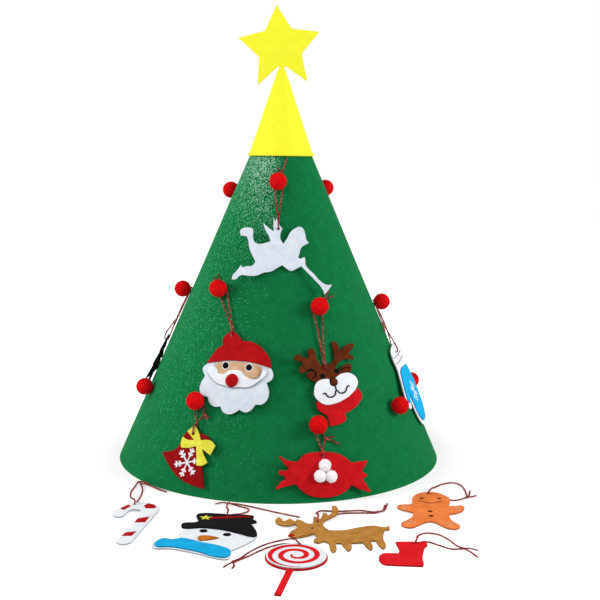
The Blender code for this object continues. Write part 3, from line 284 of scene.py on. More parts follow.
def woolMaterial(name, slot, main, deep):
    # Clipped wool pile: saturated, with painted shade between its tufts of 1.1 mm, laid as random noise, no
    # gloss
    material, tree, shader, place = newMaterial(name, slot, {
        "Roughness": 0.95, "Specular IOR Level": 0.2,
        "Sheen Weight": 0.35, "Sheen Roughness": 0.3, "Sheen Tint": hexLinear(main)})
    pile = addNode(tree, "ShaderNodeTexNoise", {"Scale": 900.0, "Detail": 2.0, "Vector": place})
    tree.links.new(covered(tree, deep, main, pile.outputs["Fac"], (0.35, 0.6)), shader.inputs["Base Color"])
    return material


def threadMaterial(name, slot, main, deep, light):
    # Two-ply twisted rayon thread: a soft gloss on each ply, and painted shade in fine random streaks for
    # where the plies meet. Its strands are drawn 0.7 mm apart, coarser than real, and painted highlights of
    # the light colour lie on it in runs of 3 mm.
    material, tree, shader, place = newMaterial(name, slot, {
        "Roughness": 0.55, "Specular IOR Level": 0.22, "Sheen Weight": 0.1})
    strands = addNode(tree, "ShaderNodeTexNoise", {"Scale": 1400.0, "Detail": 2.0, "Vector": place})
    runs = addNode(tree, "ShaderNodeTexNoise", {"Scale": 300.0, "Detail": 1.0, "Vector": place})
    dull = covered(tree, deep, main, strands.outputs["Fac"], (0.35, 0.62))
    colour = covered(tree, dull, light, runs.outputs["Fac"], (0.50, 0.66), 0.5)
    tree.links.new(colour, shader.inputs["Base Color"])
    return material


def tapeMaterial():
    # Woven hook and loop tape: a fine square weave with a slight plastic gloss, drawn 1.1 mm across
    material, tree, shader, place = newMaterial("woven_nylon_tape", "tape_nylon", {
        "Roughness": 0.6, "Specular IOR Level": 0.4})
    weave = addNode(tree, "ShaderNodeTexVoronoi", {"Scale": 900.0, "Vector": place}).outputs["Distance"]
    tree.links.new(covered(tree, "#2f8f5b", "#0c4a2b", weave, (0.1, 0.6)), shader.inputs["Base Color"])
    relief = addNode(tree, "ShaderNodeBump", {"Strength": 0.8, "Distance": 0.0003, "Height": weave})
    tree.links.new(relief.outputs["Normal"], shader.inputs["Normal"])
    return material


greenFelt = treeFelt()
yellowFelt = feltMaterial("yellow_needle_felt", "yellow_felt", "#f8f534", "#f4f02f", "#fdfb8a", 0.3)
bowFelt = feltMaterial("bow_yellow_felt", "yellow_felt", "#e9e552", "#d6d038", "#f8f596", 0.35)
redFelt = feltMaterial("red_needle_felt", "red_felt", "#b60d14", "#a4090f", "#c93436")
bellFelt = feltMaterial("deep_red_felt", "red_felt", "#99080f", "#85060b", "#b02a2c")
brightRedFelt = feltMaterial("bright_red_felt", "red_felt", "#e61722", "#d4111b", "#ea4646")
scarfFelt = feltMaterial("scarf_red_felt", "red_felt", "#cf131b", "#ba0e15", "#df4644", 0.3)
softWhiteFelt = feltMaterial("bluish_white_felt", "white_felt", "#dce3ed", "#d0d9e5", "#f5f8fb", 0.5)
whiteFelt = feltMaterial("white_needle_felt", "white_felt", "#eef2f6", "#e4e9f0", "#ffffff", 0.5)
brownFelt = feltMaterial("brown_needle_felt", "brown_felt", "#6a2c10", "#51200a", "#874726", 0.3)
darkBrownFelt = feltMaterial("dark_brown_felt", "brown_felt", "#2c120a", "#1d0b06", "#4a2418", 0.3)
tanFelt = feltMaterial("tan_needle_felt", "tan_felt", "#c48a41", "#aa742f", "#d2a05f", 0.4)
orangeFelt = feltMaterial("orange_needle_felt", "orange_felt", "#f4884a", "#e87835", "#f7a068", 0.3)
peachFelt = feltMaterial("peach_needle_felt", "peach_felt", "#d8b28d", "#c99f78", "#e8ccae", 0.4)
blackFelt = feltMaterial("black_needle_felt", "black_felt", "#0c0c0e", "#070709", "#2a2a2e", 0.35)
blueFelt = feltMaterial("blue_needle_felt", "blue_felt", "#10b4ec", "#0aa2da", "#56cbf2", 0.3)
firFelt = feltMaterial("dark_green_felt", "dark_green_felt", "#0f3b26", "#0a2a1b", "#265a3f", 0.3)
carrotFelt = feltMaterial("carrot_orange_felt", "orange_felt", "#d2791c", "#b56012", "#e59c48", 0.3)
pompomWool = woolMaterial("red_wool_pile", "pompom_wool", "#f30b13", "#d6060d")
berryWool = woolMaterial("white_wool_pile", "white_felt", "#ffffff", "#f4f1f8")
redThread = threadMaterial("twisted_red_thread", "red_thread", "#9c1217", "#340609", "#e69384")
blackThread = threadMaterial("black_sewing_thread", "black_felt", "#0c0c0e", "#060607", "#1c1c20")
# grey thread for a painted shadow line
shadowGreyThread = threadMaterial("grey_sewing_thread", "white_felt", "#5f646d", "#474b53", "#8f949c")
brownThread = threadMaterial("brown_sewing_thread", "brown_felt", "#7c2a12", "#571b0b", "#a04a2a")
nylonTape = tapeMaterial()
print("materials made:", len(bpy.data.materials))


def finishPiece(name, builder, material, body, smoothAngle=35.0, replaced=(), front=None, slot=None):
    # a bmesh in world places becomes a piece that rides on a body; front is a flat board's normal
    mesh = newMesh(name, builder)
    mesh.shade_smooth()
    mesh.set_sharp_from_angle(angle=math.radians(smoothAngle))
    mesh.materials.append(material)
    if front is not None:
        # 1 on the faces that turn away from the front, where painted shade goes
        edges = mesh.attributes.new("cutEdge", "FLOAT", "FACE")
        for polygon in mesh.polygons:
            edges.data[polygon.index].value = float(abs(polygon.normal.dot(front)) < 0.6)
    piece = addObject(name, mesh)
    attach(piece, body)
    slot or slotOf[material.name]
    if replaced:
        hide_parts(*replaced)
    return piece


# The wall of the tree

wall = {
    "height": 0.576,        # where the wall's straight lines meet
    "baseRadius": 0.250,
    "felt": 0.0025,
    "topRadius": 0.0178,    # of the opening at the sheet's top
    "below": 0.010,         # how far the sheet runs on before the floor cuts it
    "overlap": 0.034,       # of the two ends, at the rim
    "blendAngle": 50.0,     # the inner end steps in over this much of the turn
    "stepIn": 0.0064,
    "columns": 288,
    "rows": 90,
    "wave": 0.00022,        # the felt isn't quite even
    "waveTurn": 2.4,        # waves round the wall and up it
    "waveRise": 11.0,
    "softEdge": 0.0006,
}
halfAngle = math.atan2(wall["baseRadius"], wall["height"])
wallSlope = math.tan(halfAngle)


def wallFrame(azimuth, height):
    # x to the right, y up the slope and z out of the wall's outer face
    turn = math.radians(azimuth)
    out = Vector((math.cos(halfAngle) * math.sin(turn), -math.cos(halfAngle) * math.cos(turn),
                  math.sin(halfAngle)))
    right = Vector((math.cos(turn), math.sin(turn), 0))
    radius = (wall["height"] - height) * wallSlope
    place = Matrix((right, out.cross(right), out)).transposed().to_4x4()
    place.translation = treeAxis + Vector((radius * math.sin(turn), -radius * math.cos(turn), height))
    return place


def wallClearance(point):
    spot = point - treeAxis
    return (math.hypot(spot.x, spot.y) - (wall["height"] - spot.z) * wallSlope) * math.cos(halfAngle)


def sheetInset(azimuth, innerEnd):
    share = (azimuth - (innerEnd - wall["blendAngle"])) / wall["blendAngle"]
    share = min(1.0, max(0.0, share))
    return wall["stepIn"] * share * share * (3 - 2 * share)


def thicken(thing, felt):
    addModifier(thing, "SOLIDIFY", thickness=felt, offset=-1, use_even_offset=True)


def soften(thing, width, **edge):
    addModifier(thing, "BEVEL", width=width, segments=2, limit_method="ANGLE", **edge)


def makeWall():
    # one rolled sheet: the outer flap laps over the inner end at the back
    lap = math.degrees(wall["overlap"] / wall["baseRadius"])
    innerEnd, outerEnd = 180.0 - lap / 2, -180.0 - lap / 2
    top = wall["height"] - wall["topRadius"] / wallSlope
    builder = bmesh.new()
    grid = []
    for row in range(wall["rows"] + 1):
        height = -wall["below"] + (top + wall["below"]) * row / wall["rows"]
        line = []
        for column in range(wall["columns"] + 1):
            azimuth = outerEnd + (innerEnd + lap - outerEnd) * column / wall["columns"]
            turn = math.radians(azimuth)
            wave = noise.noise(Vector((math.sin(turn) * wall["waveTurn"], math.cos(turn) * wall["waveTurn"],
                                       height * wall["waveRise"])))
            out = wave * wall["wave"] - sheetInset(azimuth, innerEnd)
            line.append(builder.verts.new(wallFrame(azimuth, height) @ Vector((0, 0, out))))
        grid.append(line)
    for lower, upper in zip(grid, grid[1:]):
        for k in range(wall["columns"]):
            builder.faces.new((lower[k], lower[k + 1], upper[k + 1], upper[k]))
    sheet = addObject("sheet", newMesh("sheet", builder))
    thicken(sheet, wall["felt"])
    soften(sheet, wall["softEdge"])
    builder = evaluatedMesh(sheet)
    cut = bmesh.ops.bisect_plane(builder, geom=builder.verts[:] + builder.edges[:] + builder.faces[:],
                                 plane_co=(0, 0, 0), plane_no=(0, 0, -1), clear_outer=True)
    rim = [e for e in cut["geom_cut"] if isinstance(e, bmesh.types.BMEdge)]
    bmesh.ops.contextual_create(builder, geom=rim)
    bmesh.ops.triangulate(builder, faces=[f for f in builder.faces if len(f.verts) > 4])
    bmesh.ops.recalc_face_normals(builder, faces=builder.faces)
    finishPiece("rolledWall", builder, greenFelt, "tree", 35, ["tree_cone"])


makeWall()
print("wall made")


tape = {
    "softEdge": 0.0002,
}


def makeTape(name, node):
    # a strip of tape on the CAD strip's own place
    strip = addObject(name, newMesh(name, nodeMesh(node)))
    soften(strip, tape["softEdge"])
    finishPiece(name, evaluatedMesh(strip), nylonTape, "tree", 35, [node])


makeTape("hookTape", "seam_hook_tape")
makeTape("loopTape", "seam_loop_tape")

# Pompoms: a core with a coat of clipped fibres

pompom = {
    "radius": 0.0119,
    "lumps": 0.03,
    "ballHeight": 0.024,        # how much of the CAD pompom is ball, from its outer end
    "coat": {
        "Density": 1500000.0,   # fibres for each square metre
        "Fibre Length": 0.0013,
        "Fibre Width": 0.00030,
        "Lean": 0.6,
    },
    "seed": 11,
    "stalk": (0.0032, 0.0030),  # its radius at the wall and at the ball
    "stalkLength": 0.004,
    "stalkDepth": 0.0114,       # its middle, under the ball's middle
}


def fibreCoat():
    # scatters short tapered fibres over a surface, leaning a little each way
    group = bpy.data.node_groups.new("fibreCoat", "GeometryNodeTree")
    sockets = [("Geometry", "Geometry"), ("Density", "Float"), ("Fibre Length", "Float"),
               ("Fibre Width", "Float"), ("Lean", "Float"), ("Seed", "Int"), ("Material", "Material")]
    for title, kind in sockets:
        group.interface.new_socket(title, in_out="INPUT", socket_type="NodeSocket" + kind)
    group.interface.new_socket("Geometry", in_out="OUTPUT", socket_type="NodeSocketGeometry")
    given = addNode(group, "NodeGroupInput").outputs
    points = addNode(group, "GeometryNodeDistributePointsOnFaces",
                     {"Mesh": given["Geometry"], "Density": given["Density"],
                      "Seed": given["Seed"]}).outputs
    fibre = addNode(group, "GeometryNodeMeshCone",
                    {"Vertices": 3, "Side Segments": 1, "fill_type": "NONE", "Radius Top": 0.00006,
                     "Radius Bottom": given["Fibre Width"], "Depth": given["Fibre Length"]})
    low = addNode(group, "ShaderNodeMath", {"operation": "MULTIPLY", 0: given["Lean"], 1: -1.0})
    tilt = addNode(group, "FunctionNodeRandomValue",
                   {"data_type": "FLOAT_VECTOR", 0: low.outputs[0], 1: given["Lean"],
                    "Seed": given["Seed"]})
    turned = addNode(group, "FunctionNodeRotateRotation",
                     {"rotation_space": "LOCAL", 0: points["Rotation"], 1: tilt.outputs[0]})
    size = addNode(group, "FunctionNodeRandomValue",
                   {"data_type": "FLOAT", 2: 0.7, 3: 1.15, "Seed": given["Seed"]})
    copies = addNode(group, "GeometryNodeInstanceOnPoints",
                     {"Points": points["Points"], "Instance": fibre.outputs["Mesh"],
                      "Rotation": turned.outputs[0], "Scale": size.outputs[1]})
    real = addNode(group, "GeometryNodeRealizeInstances", {"Geometry": copies.outputs["Instances"]})
    joined = addNode(group, "GeometryNodeJoinGeometry", {"Geometry": real.outputs["Geometry"]})
    group.links.new(given["Geometry"], joined.inputs["Geometry"])
    painted = addNode(group, "GeometryNodeSetMaterial",
                      {"Geometry": joined.outputs["Geometry"], "Material": given["Material"]})
    addNode(group, "NodeGroupOutput", {"Geometry": painted.outputs["Geometry"]})
    return group


coat = fibreCoat()


def woollyBall(radius, lumps, material, look, seed, matrix):
    # a lumpy ball with its fibre coat, as a bmesh
    builder = bmesh.new()
    bmesh.ops.create_icosphere(builder, subdivisions=4, radius=radius)
    for vertex in builder.verts:
        vertex.co *= 1 + lumps * noise.noise(vertex.co * 260)
    ball = addObject("ball", newMesh("ball", builder))
    modifier = addModifier(ball, "NODES", node_group=coat)
    sockets = {item.name: item.identifier for item in coat.interface.items_tree if item.in_out == "INPUT"}
    for title, value in {**look, "Seed": seed, "Material": material}.items():
        modifier[sockets[title]] = value
    return evaluatedMesh(ball, matrix, merged=False)


def makePompoms():
    for number, node in enumerate(sorted(n for n in frame["nodes"] if n.startswith("pompom_"))):
        low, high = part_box(node)
        middle = (low + high) / 2
        turn = wallFrame(math.degrees(math.atan2(middle.x - treeAxis.x, treeAxis.y - middle.y)), 0)
        out = turn.to_3x3() @ Vector((0, 0, 1))
        builder = nodeMesh(node)
        reach = max(v.co.dot(out) for v in builder.verts)
        ball = [v.co for v in builder.verts if v.co.dot(out) > reach - pompom["ballHeight"]]
        centre = sum(ball, Vector()) / len(ball)
        centre += out * (reach - pompom["radius"] - pompom["coat"]["Fibre Length"] - centre.dot(out))
        builder.free()
        turn.translation = centre
        fluffy = woollyBall(pompom["radius"], pompom["lumps"], pompomWool, pompom["coat"],
                            pompom["seed"] + number, turn)
        stalk = bmesh.ops.create_cone(fluffy, cap_ends=True, segments=20, radius1=pompom["stalk"][0],
                                      radius2=pompom["stalk"][1], depth=pompom["stalkLength"])["verts"]
        inwards = turn @ Matrix.Translation((0, 0, -pompom["stalkDepth"]))
        bmesh.ops.transform(fluffy, verts=stalk, matrix=inwards)
        finishPiece(node.replace("_", "") + "Ball", fluffy, pompomWool, "tree", 60, [node])


makePompoms()
print("pompoms made")

# The cap, a rolled cone with a slit for the star

cap = {
    "hemDrop": 0.109,       # below the wall's point
    "tipRise": 0.021,       # above it
    "tipRadius": 0.0051,
    "felt": 0.0015,
    "gap": 0.0005,          # between the cap and the wall
    "flare": 0.0020,        # the hem stands a little off the wall
    "flareShare": 14,       # over a fourteenth of the cap's height
    "wave": 0.0005,         # the felt isn't quite even
    "waveRise": 4,          # waves up its height
    "tipPoint": 0.0022,     # the tip's front and back rise to a low point
    "slitDepth": 0.004626,  # below the tip
    "slitWidth": 0.0036,
    "cutter": (0.13, 0.1),  # width and height of the block that cuts the slit
    "columns": 160,
    "rows": 46,
    "softEdge": 0.0003,
    "softAngle": 50,        # edges that turn by more are softened
}


def makeCap():
    hem = wall["height"] - cap["hemDrop"]
    tip = wall["height"] + cap["tipRise"]
    hemRadius = cap["hemDrop"] * wallSlope + cap["gap"] / math.cos(halfAngle) + cap["felt"]
    builder = bmesh.new()
    grid = []
    for row in range(cap["rows"] + 1):
        share = row / cap["rows"]
        line = []
        for column in range(cap["columns"]):
            turn = 2 * math.pi * column / cap["columns"]
            across, ahead = math.sin(turn), math.cos(turn)
            radius = hemRadius + (cap["tipRadius"] - hemRadius) * share
            radius += cap["flare"] * max(0, 1 - share * cap["flareShare"]) ** 2
            wave = noise.noise(Vector((across, ahead, share * cap["waveRise"])))
            radius += cap["wave"] * share * (1 - share) * wave
            height = hem + (tip - hem) * share
            if row == cap["rows"]:
                height += cap["tipPoint"] * abs(ahead) ** 3
            spot = treeAxis + Vector((radius * across, -radius * ahead, height))
            line.append(builder.verts.new(spot))
        grid.append(line)
    for lower, upper in zip(grid, grid[1:]):
        for k in range(cap["columns"]):
            other = (k + 1) % cap["columns"]
            builder.faces.new((lower[k], lower[other], upper[other], upper[k]))
    cone = addObject("cap", newMesh("cap", builder))
    thicken(cone, cap["felt"])
    block = bmesh.new()
    bmesh.ops.create_cube(block, size=1)
    width, height = cap["cutter"]
    block.transform(Matrix.Translation((treeAxis.x, treeAxis.y, tip - cap["slitDepth"] + height / 2))
                    @ Matrix.Diagonal((width, cap["slitWidth"], height, 1)))
    cutter = addObject("slit", newMesh("slit", block))
    addModifier(cone, "BOOLEAN", operation="DIFFERENCE", solver="EXACT", object=cutter)
    soften(cone, cap["softEdge"], angle_limit=math.radians(cap["softAngle"]))
    built = evaluatedMesh(cone)
    bpy.data.objects.remove(cutter, do_unlink=True)
    finishPiece("starCap", built, yellowFelt, "cap", 35, ["star_cap"])


makeCap()


# Flat felt boards, cut by their CAD outlines

def swingFrame(name):
    # a hung ornament's pivot: x right, y up the slope, z along the hinge
    joint = next(j for j in frame["joints"] if j["name"] == name)
    out = Vector(joint["axis"]).normalized()
    right = Vector((-out.y, out.x, 0)).normalized()
    place = Matrix((right, out.cross(right), out)).transposed().to_4x4()
    place.translation = Vector(joint["pos_m"])
    return place


def levels(node, board):
    # a node's lowest and highest point over its board's back
    builder = nodeMesh(node, board.inverted())
    heights = [v.co.z for v in builder.verts]
    builder.free()
    return min(heights), max(heights)


def cutLines(node, board):
    # the outlines of a flat felt piece's front, in the board's own measures, largest first
    low, high = levels(node, board)
    builder = nodeMesh(node, board.inverted())
    front = {f for f in builder.faces if all(high - v.co.z < 0.2 * mm for v in f.verts)}
    near = {}
    for edge in builder.edges:
        if sum(1 for f in edge.link_faces if f in front) == 1:
            for one, other in (edge.verts, reversed(edge.verts)):
                near.setdefault(one, []).append(other)
    lines = []
    while near:
        line, here, before = [], next(iter(near)), None
        while here in near:
            line.append((here.co.x, here.co.y))
            after = [v for v in near.pop(here) if v is not before]
            before, here = here, after[0]
        lines.append(line)
    builder.free()
    lines.sort(key=lambda line: -(max(p[0] for p in line) - min(p[0] for p in line)))
    return lines, low, high


def boardFrame(node, joint=None):
    # a flat board's own frame: the origin in its thread hole, on its back
    if joint:
        facing = Vector(swingFrame(joint).col[2][:3])
        right = Vector((-facing.y, facing.x, 0)).normalized()
    else:
        builder = nodeMesh(node)
        up = [f for f in builder.faces if f.normal.z > 0.9]
        facing = sum((f.normal * f.calc_area() for f in up), Vector()).normalized()
        builder.free()
        right = (Vector((1, 0, 0)) - facing * facing.x).normalized()
    place = Matrix((right, facing.cross(right), facing)).transposed().to_4x4()
    lines, low, _ = cutLines(node, place)
    ring = lines[-1]
    hole = Vector((sum(p[0] for p in ring) / len(ring), sum(p[1] for p in ring) / len(ring), low))
    return place @ Matrix.Translation(hole)


def flatPiece(name, lines, low, high, board, body, felt, replaced=(), rounding=0.3, sharpTurn=58.0,
              resolution=4):
    # a flat piece with soft edges: turns past sharpTurn stay corners, and gentle ones are curves
    rounding = rounding * mm
    curve = newCurve(name, dimensions="2D", fill_mode="BOTH", resolution_u=resolution, bevel_resolution=1,
                     extrude=(high - low) / 2 - rounding, bevel_depth=rounding, offset=-rounding)
    for line in lines:
        spline = curve.splines.new("BEZIER")
        spline.bezier_points.add(len(line) - 1)
        spline.use_cyclic_u = True
        for index, point in enumerate(spline.bezier_points):
            here = Vector(line[index][:2])
            arriving = here - Vector(line[index - 1][:2])
            leaving = Vector(line[(index + 1) % len(line)][:2]) - here
            corner = arriving.angle(leaving, 0) > math.radians(sharpTurn)
            point.co = (here.x, here.y, 0)
            point.handle_left_type = point.handle_right_type = "VECTOR" if corner else "AUTO"
    builder = evaluatedMesh(addObject(name, curve), board @ Matrix.Translation((0, 0, (low + high) / 2)))
    finishPiece(name, builder, felt, body, 40, replaced, board.to_3x3().col[2])


def feltCut(name, node, board, body, felt, sharpTurn=58.0):
    # stands for a CAD board: its cut line drawn finer, with soft edges
    lines, low, high = cutLines(node, board)
    flatPiece(name, lines, low, high, board, body, felt, [node], sharpTurn=sharpTurn)


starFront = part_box("star")[1].y
starBoard = Matrix(((1, 0, 0, 0), (0, 0, -1, starFront), (0, 1, 0, 0), (0, 0, 0, 1)))
feltCut("feltStar", "star", starBoard, "cap", yellowFelt, 20)
print("cap and star made")


# Details sewn on a board. Each row of an ornament's details names what makes it, the node that it
# lies on and how far over that node's front. All its measures are in millimetres from the thread hole.

def patch(name, points, board, body, level, look):
    points = [(x * mm, y * mm) for x, y in points]
    flatPiece(name, [points], level, level + look["thickness"] * mm, board, body, look["felt"], (),
              look.get("rounding", 0.2), look.get("sharpTurn", 58.0), 6)


def dome(size, place, segments=(28, 18), lumps=0.03, foot=0.05):
    # half a ball, with a short foot that sinks into what carries it
    builder = bmesh.new()
    bmesh.ops.create_uvsphere(builder, u_segments=segments[0], v_segments=segments[1], radius=1)
    for vertex in builder.verts:
        x, y, z = vertex.co
        lump = 1 + lumps * noise.noise(vertex.co * 3.1)
        vertex.co = Vector((x * size[0] * lump, y * size[1] * lump, max(z, -foot) * size[2]))
    builder.transform(place)
    return builder


def roundSpot(name, centre, board, body, level, look):
    # a domed felt button or a knot of thread
    radius = look["radius"] * mm
    place = board @ Matrix.Translation((centre[0] * mm, centre[1] * mm, level))
    size = (radius, radius * look.get("squash", 1), look["height"] * mm)
    finishPiece(name, dome(size, place), look["felt"], body, 60)


def sewnLine(name, points, board, body, level, look):
    # a line of thread that stands half out of the felt: embroidery, and on Santa's face painted shade and a
    # painted shadow
    curve = newCurve(name, dimensions="3D", resolution_u=8, bevel_depth=look["radius"] * mm,
                     bevel_resolution=2, use_fill_caps=True)
    spline = curve.splines.new("BEZIER")
    spline.bezier_points.add(len(points) - 1)
    for point, (x, y) in zip(spline.bezier_points, points):
        point.co = (x * mm, y * mm, level)
        point.handle_left_type = point.handle_right_type = "AUTO"
    builder = evaluatedMesh(addObject(name, curve), board)
    finishPiece(name, builder, look["felt"], body, 60, slot=look.get("slot"))


def snowflake(name, centre, board, body, level, look):
    # six arms with pairs of branches, cut from thin felt
    centre, reach = Vector(centre) * mm, look["reach"] * mm
    curve = newCurve(name, dimensions="3D", bevel_depth=look["width"] / 2 * mm, bevel_resolution=1,
                     use_fill_caps=True)

    def bar(start, end):
        spline = curve.splines.new("POLY")
        spline.points.add(1)
        spline.points[0].co = (start.x, start.y, 0, 1)
        spline.points[1].co = (end.x, end.y, 0, 1)

    for arm in range(6):
        angle = math.radians(look["turn"] + 60 * arm)
        along = Vector((math.cos(angle), math.sin(angle)))
        bar(centre, centre + along * reach)
        for share, length in look["branches"]:
            fork = centre + along * reach * share
            for side in (-1, 1):
                turned = angle + side * math.radians(48)
                bar(fork, fork + Vector((math.cos(turned), math.sin(turned))) * length * mm)
    flat = board @ Matrix.Translation((0, 0, level)) @ Matrix.Diagonal((1, 1, 0.4, 1))
    finishPiece(name, evaluatedMesh(addObject(name, curve), flat), look["felt"], body, 50)


def radial(centre, radii, count, start=0):
    # points round a centre, for a ring or a star
    points = []
    for index in range(count):
        angle = math.radians(start + 360 / count * index)
        reach = radii[index % len(radii)]
        points.append((centre[0] + reach * math.cos(angle), centre[1] + reach * math.sin(angle)))
    return points


def makeOrnament(ornament):
    board = boardFrame(ornament["boards"][0][1], ornament.get("joint"))
    body = ornament["body"]
    for name, node, felt, *corner in ornament["boards"]:
        feltCut(name, node, board, body, felt, *corner)
    for look in ornament.get("details", ()):
        level = levels(look["on"], board)[1] + look.get("over", 0) * mm
        for number, shape in enumerate(look["at"]):
            look["make"](look["name"].replace("#", str(number)), shape, board, body, level, look)
    if "extra" in ornament:
        ornament["extra"](board)
    return board


# Threads

thread = {
    "diameter": 0.0016,
    "twistWidth": 0.0026,   # over both plies, which fluff out past the drawn-down thread
    "plyShare": 0.31,       # a ply's radius, of that width
    "pitch": 0.0034,        # of the two plies' twist
    "plySides": 6,
    "samplesPerTurn": 8,
    "step": 0.0012,         # between the points of a route
    "gap": 0.0005,          # over what it lies on
    "slack": 0.0024,        # how far a strand bows out from the wall
    "turnRadius": 0.0033,   # through a hole
    "holePass": 0.72,
    "neckRadius": 0.0072,   # round a pompom's foot
    "neckTurn": 170,
    "knotRadius": 0.0024,
    "knotReach": 0.0020,
    "knotPly": 0.0011,
    "knotSpacing": 0.0022,
    "knotGap": 0.0003,      # under a knot on the floor
    "longTail": 0.055,      # a longer one is part of the cord's strand
    "boardLift": 0.0026,    # a board's back over the wall
}
threadRadius = thread["diameter"] / 2


def smoothRoute(keys):
    # points on a smooth curve through the keys
    route = []
    for index in range(len(keys) - 1):
        before, start = keys[max(index - 1, 0)], keys[index]
        end, after = keys[index + 1], keys[min(index + 2, len(keys) - 1)]
        reach = (end - start).length
        leave = (end - before).normalized() * reach
        arrive = (after - start).normalized() * reach
        count = max(2, round(reach / thread["step"]))
        for number in range(count):
            t = number / count
            route.append(start * (2 * t ** 3 - 3 * t ** 2 + 1) + leave * (t ** 3 - 2 * t ** 2 + t)
                         + end * (3 * t ** 2 - 2 * t ** 3) + arrive * (t ** 3 - t ** 2))
    route.append(keys[-1])
    return route


def evenRoute(route, step):
    # the same route with its points a fixed step apart
    points, left = [route[0].copy()], step
    for one, other in zip(route, route[1:]):
        run = (other - one).length
        done = 0.0
        while run - done >= left:
            done += left
            points.append(one.lerp(other, done / run))
            left = step
        left -= run - done
    points.append(route[-1].copy())
    return points


def routeLength(route):
    return sum((b - a).length for a, b in zip(route, route[1:]))


def twistedPlies(builder, route, diameter):
    # two plies wound round each other along a route
    points = evenRoute(route, thread["pitch"] / thread["samplesPerTurn"])
    ply = diameter * thread["plyShare"]
    side = (points[1] - points[0]).orthogonal().normalized()
    sides = thread["plySides"]
    plies = [[], []]
    for index, spot in enumerate(points):
        along = (points[min(index + 1, len(points) - 1)] - points[max(index - 1, 0)]).normalized()
        side = (side - along * side.dot(along)).normalized()
        across = along.cross(side)

        def around(angle):
            return side * math.cos(angle) + across * math.sin(angle)

        twist = 2 * math.pi * index / thread["samplesPerTurn"]
        for number in range(2):
            centre = spot + around(twist + math.pi * number) * (diameter / 2 - ply)
            corners = [centre + around(2 * math.pi * corner / sides) * ply for corner in range(sides)]
            plies[number].append([builder.verts.new(corner) for corner in corners])
    for rings in plies:
        for ring, following in zip(rings, rings[1:]):
            for corner in range(sides):
                other = (corner + 1) % sides
                builder.faces.new((ring[corner], ring[other], following[other], following[corner]))
        builder.faces.new(rings[0][::-1])
        builder.faces.new(rings[-1])


def knotRoute(centre, along, up, size):
    # an overhand knot, pulled tight
    across = up.cross(along).normalized()
    up = along.cross(across).normalized()
    points = []
    for index in range(25):
        t = 2 * math.pi * index / 24
        x, y, z = math.sin(t) + 2 * math.sin(2 * t), math.cos(t) - 2 * math.cos(2 * t), -math.sin(3 * t)
        points.append(centre + (along * x + across * y) * (size / 3.2) + up * z * (size / 1.9))
    return points


def strand(name, body, route, hole, node=None):
    # one twisted thread from the hole
    route = [spot for spot, before in zip(route, [None] + route)
             if before is None or (spot - before).length > 1e-6]
    builder = bmesh.new()
    twistedPlies(builder, route, thread["twistWidth"])
    cord = finishPiece(name, builder, redThread, body, 60, [node] if node else ())
    tuple(hole)
    routeLength(route)
    [tuple(spot) for spot in route]


def makeThread(ornament, keys, knot, tails, hole):
    # keys run from the knot round the loop and back to it; the cord is measured from the hole
    name, node = ornament["thread"]
    body = ornament["body"]
    side = ((keys[0] - knot).normalized() - (keys[-1] - knot).normalized()).normalized()
    start = knot + side * (thread["knotSpacing"] / 2)
    end = knot - side * (thread["knotSpacing"] / 2)
    loop = smoothRoute([start] + keys + [end])
    nearest = min(range(len(loop)), key=lambda index: (loop[index] - hole).length)
    away = (tails[0][0] - knot).normalized()
    up = Vector((0, 0, 1)) if abs(away.z) < 0.9 else Vector((1, 0, 0))
    builder = bmesh.new()
    twistedPlies(builder, knotRoute(knot, away, up, thread["knotReach"]), thread["knotPly"])
    longTail = smoothRoute([knot] + tails[0])
    runsOn = routeLength(longTail) > thread["longTail"]
    for tail in tails[1:] if runsOn else tails:
        twistedPlies(builder, smoothRoute([knot] + tail), thread["twistWidth"])
    tied = finishPiece(name + "Knot", builder, redThread, body, 60)
    if runsOn:
        strand(name, body, loop[:nearest + 1][::-1] + longTail, hole, node)
        strand(name + "Return", body, loop[nearest:], hole)
    else:
        strand(name, body, loop[nearest:] + loop[:nearest + 1], hole, node)


def onWall(place, x, y, clearance):
    # the point of a pivot's frame that stands this far off the wall; a few rounds settle it
    z = 0.0
    for _ in range(6):
        z -= wallClearance(place @ Vector((x, y, z))) - clearance
    return Vector((x, y, z))


def holeTurn(hole, level, towards=90):
    # a half turn through a hole, from behind the felt to in front of it
    middle = level - thread["gap"] - threadRadius + thread["turnRadius"]
    towards = math.radians(towards)
    along = Vector((math.cos(towards), math.sin(towards), 0))
    keys = []
    for angle in (180, 225, 270, 315, 360):
        turn = math.radians(angle)
        spot = Vector((hole[0], hole[1], 0))
        spot += along * (thread["turnRadius"] * (thread["holePass"] + math.sin(turn)))
        keys.append(spot + Vector((0, 0, middle + thread["turnRadius"] * math.cos(turn))))
    return keys


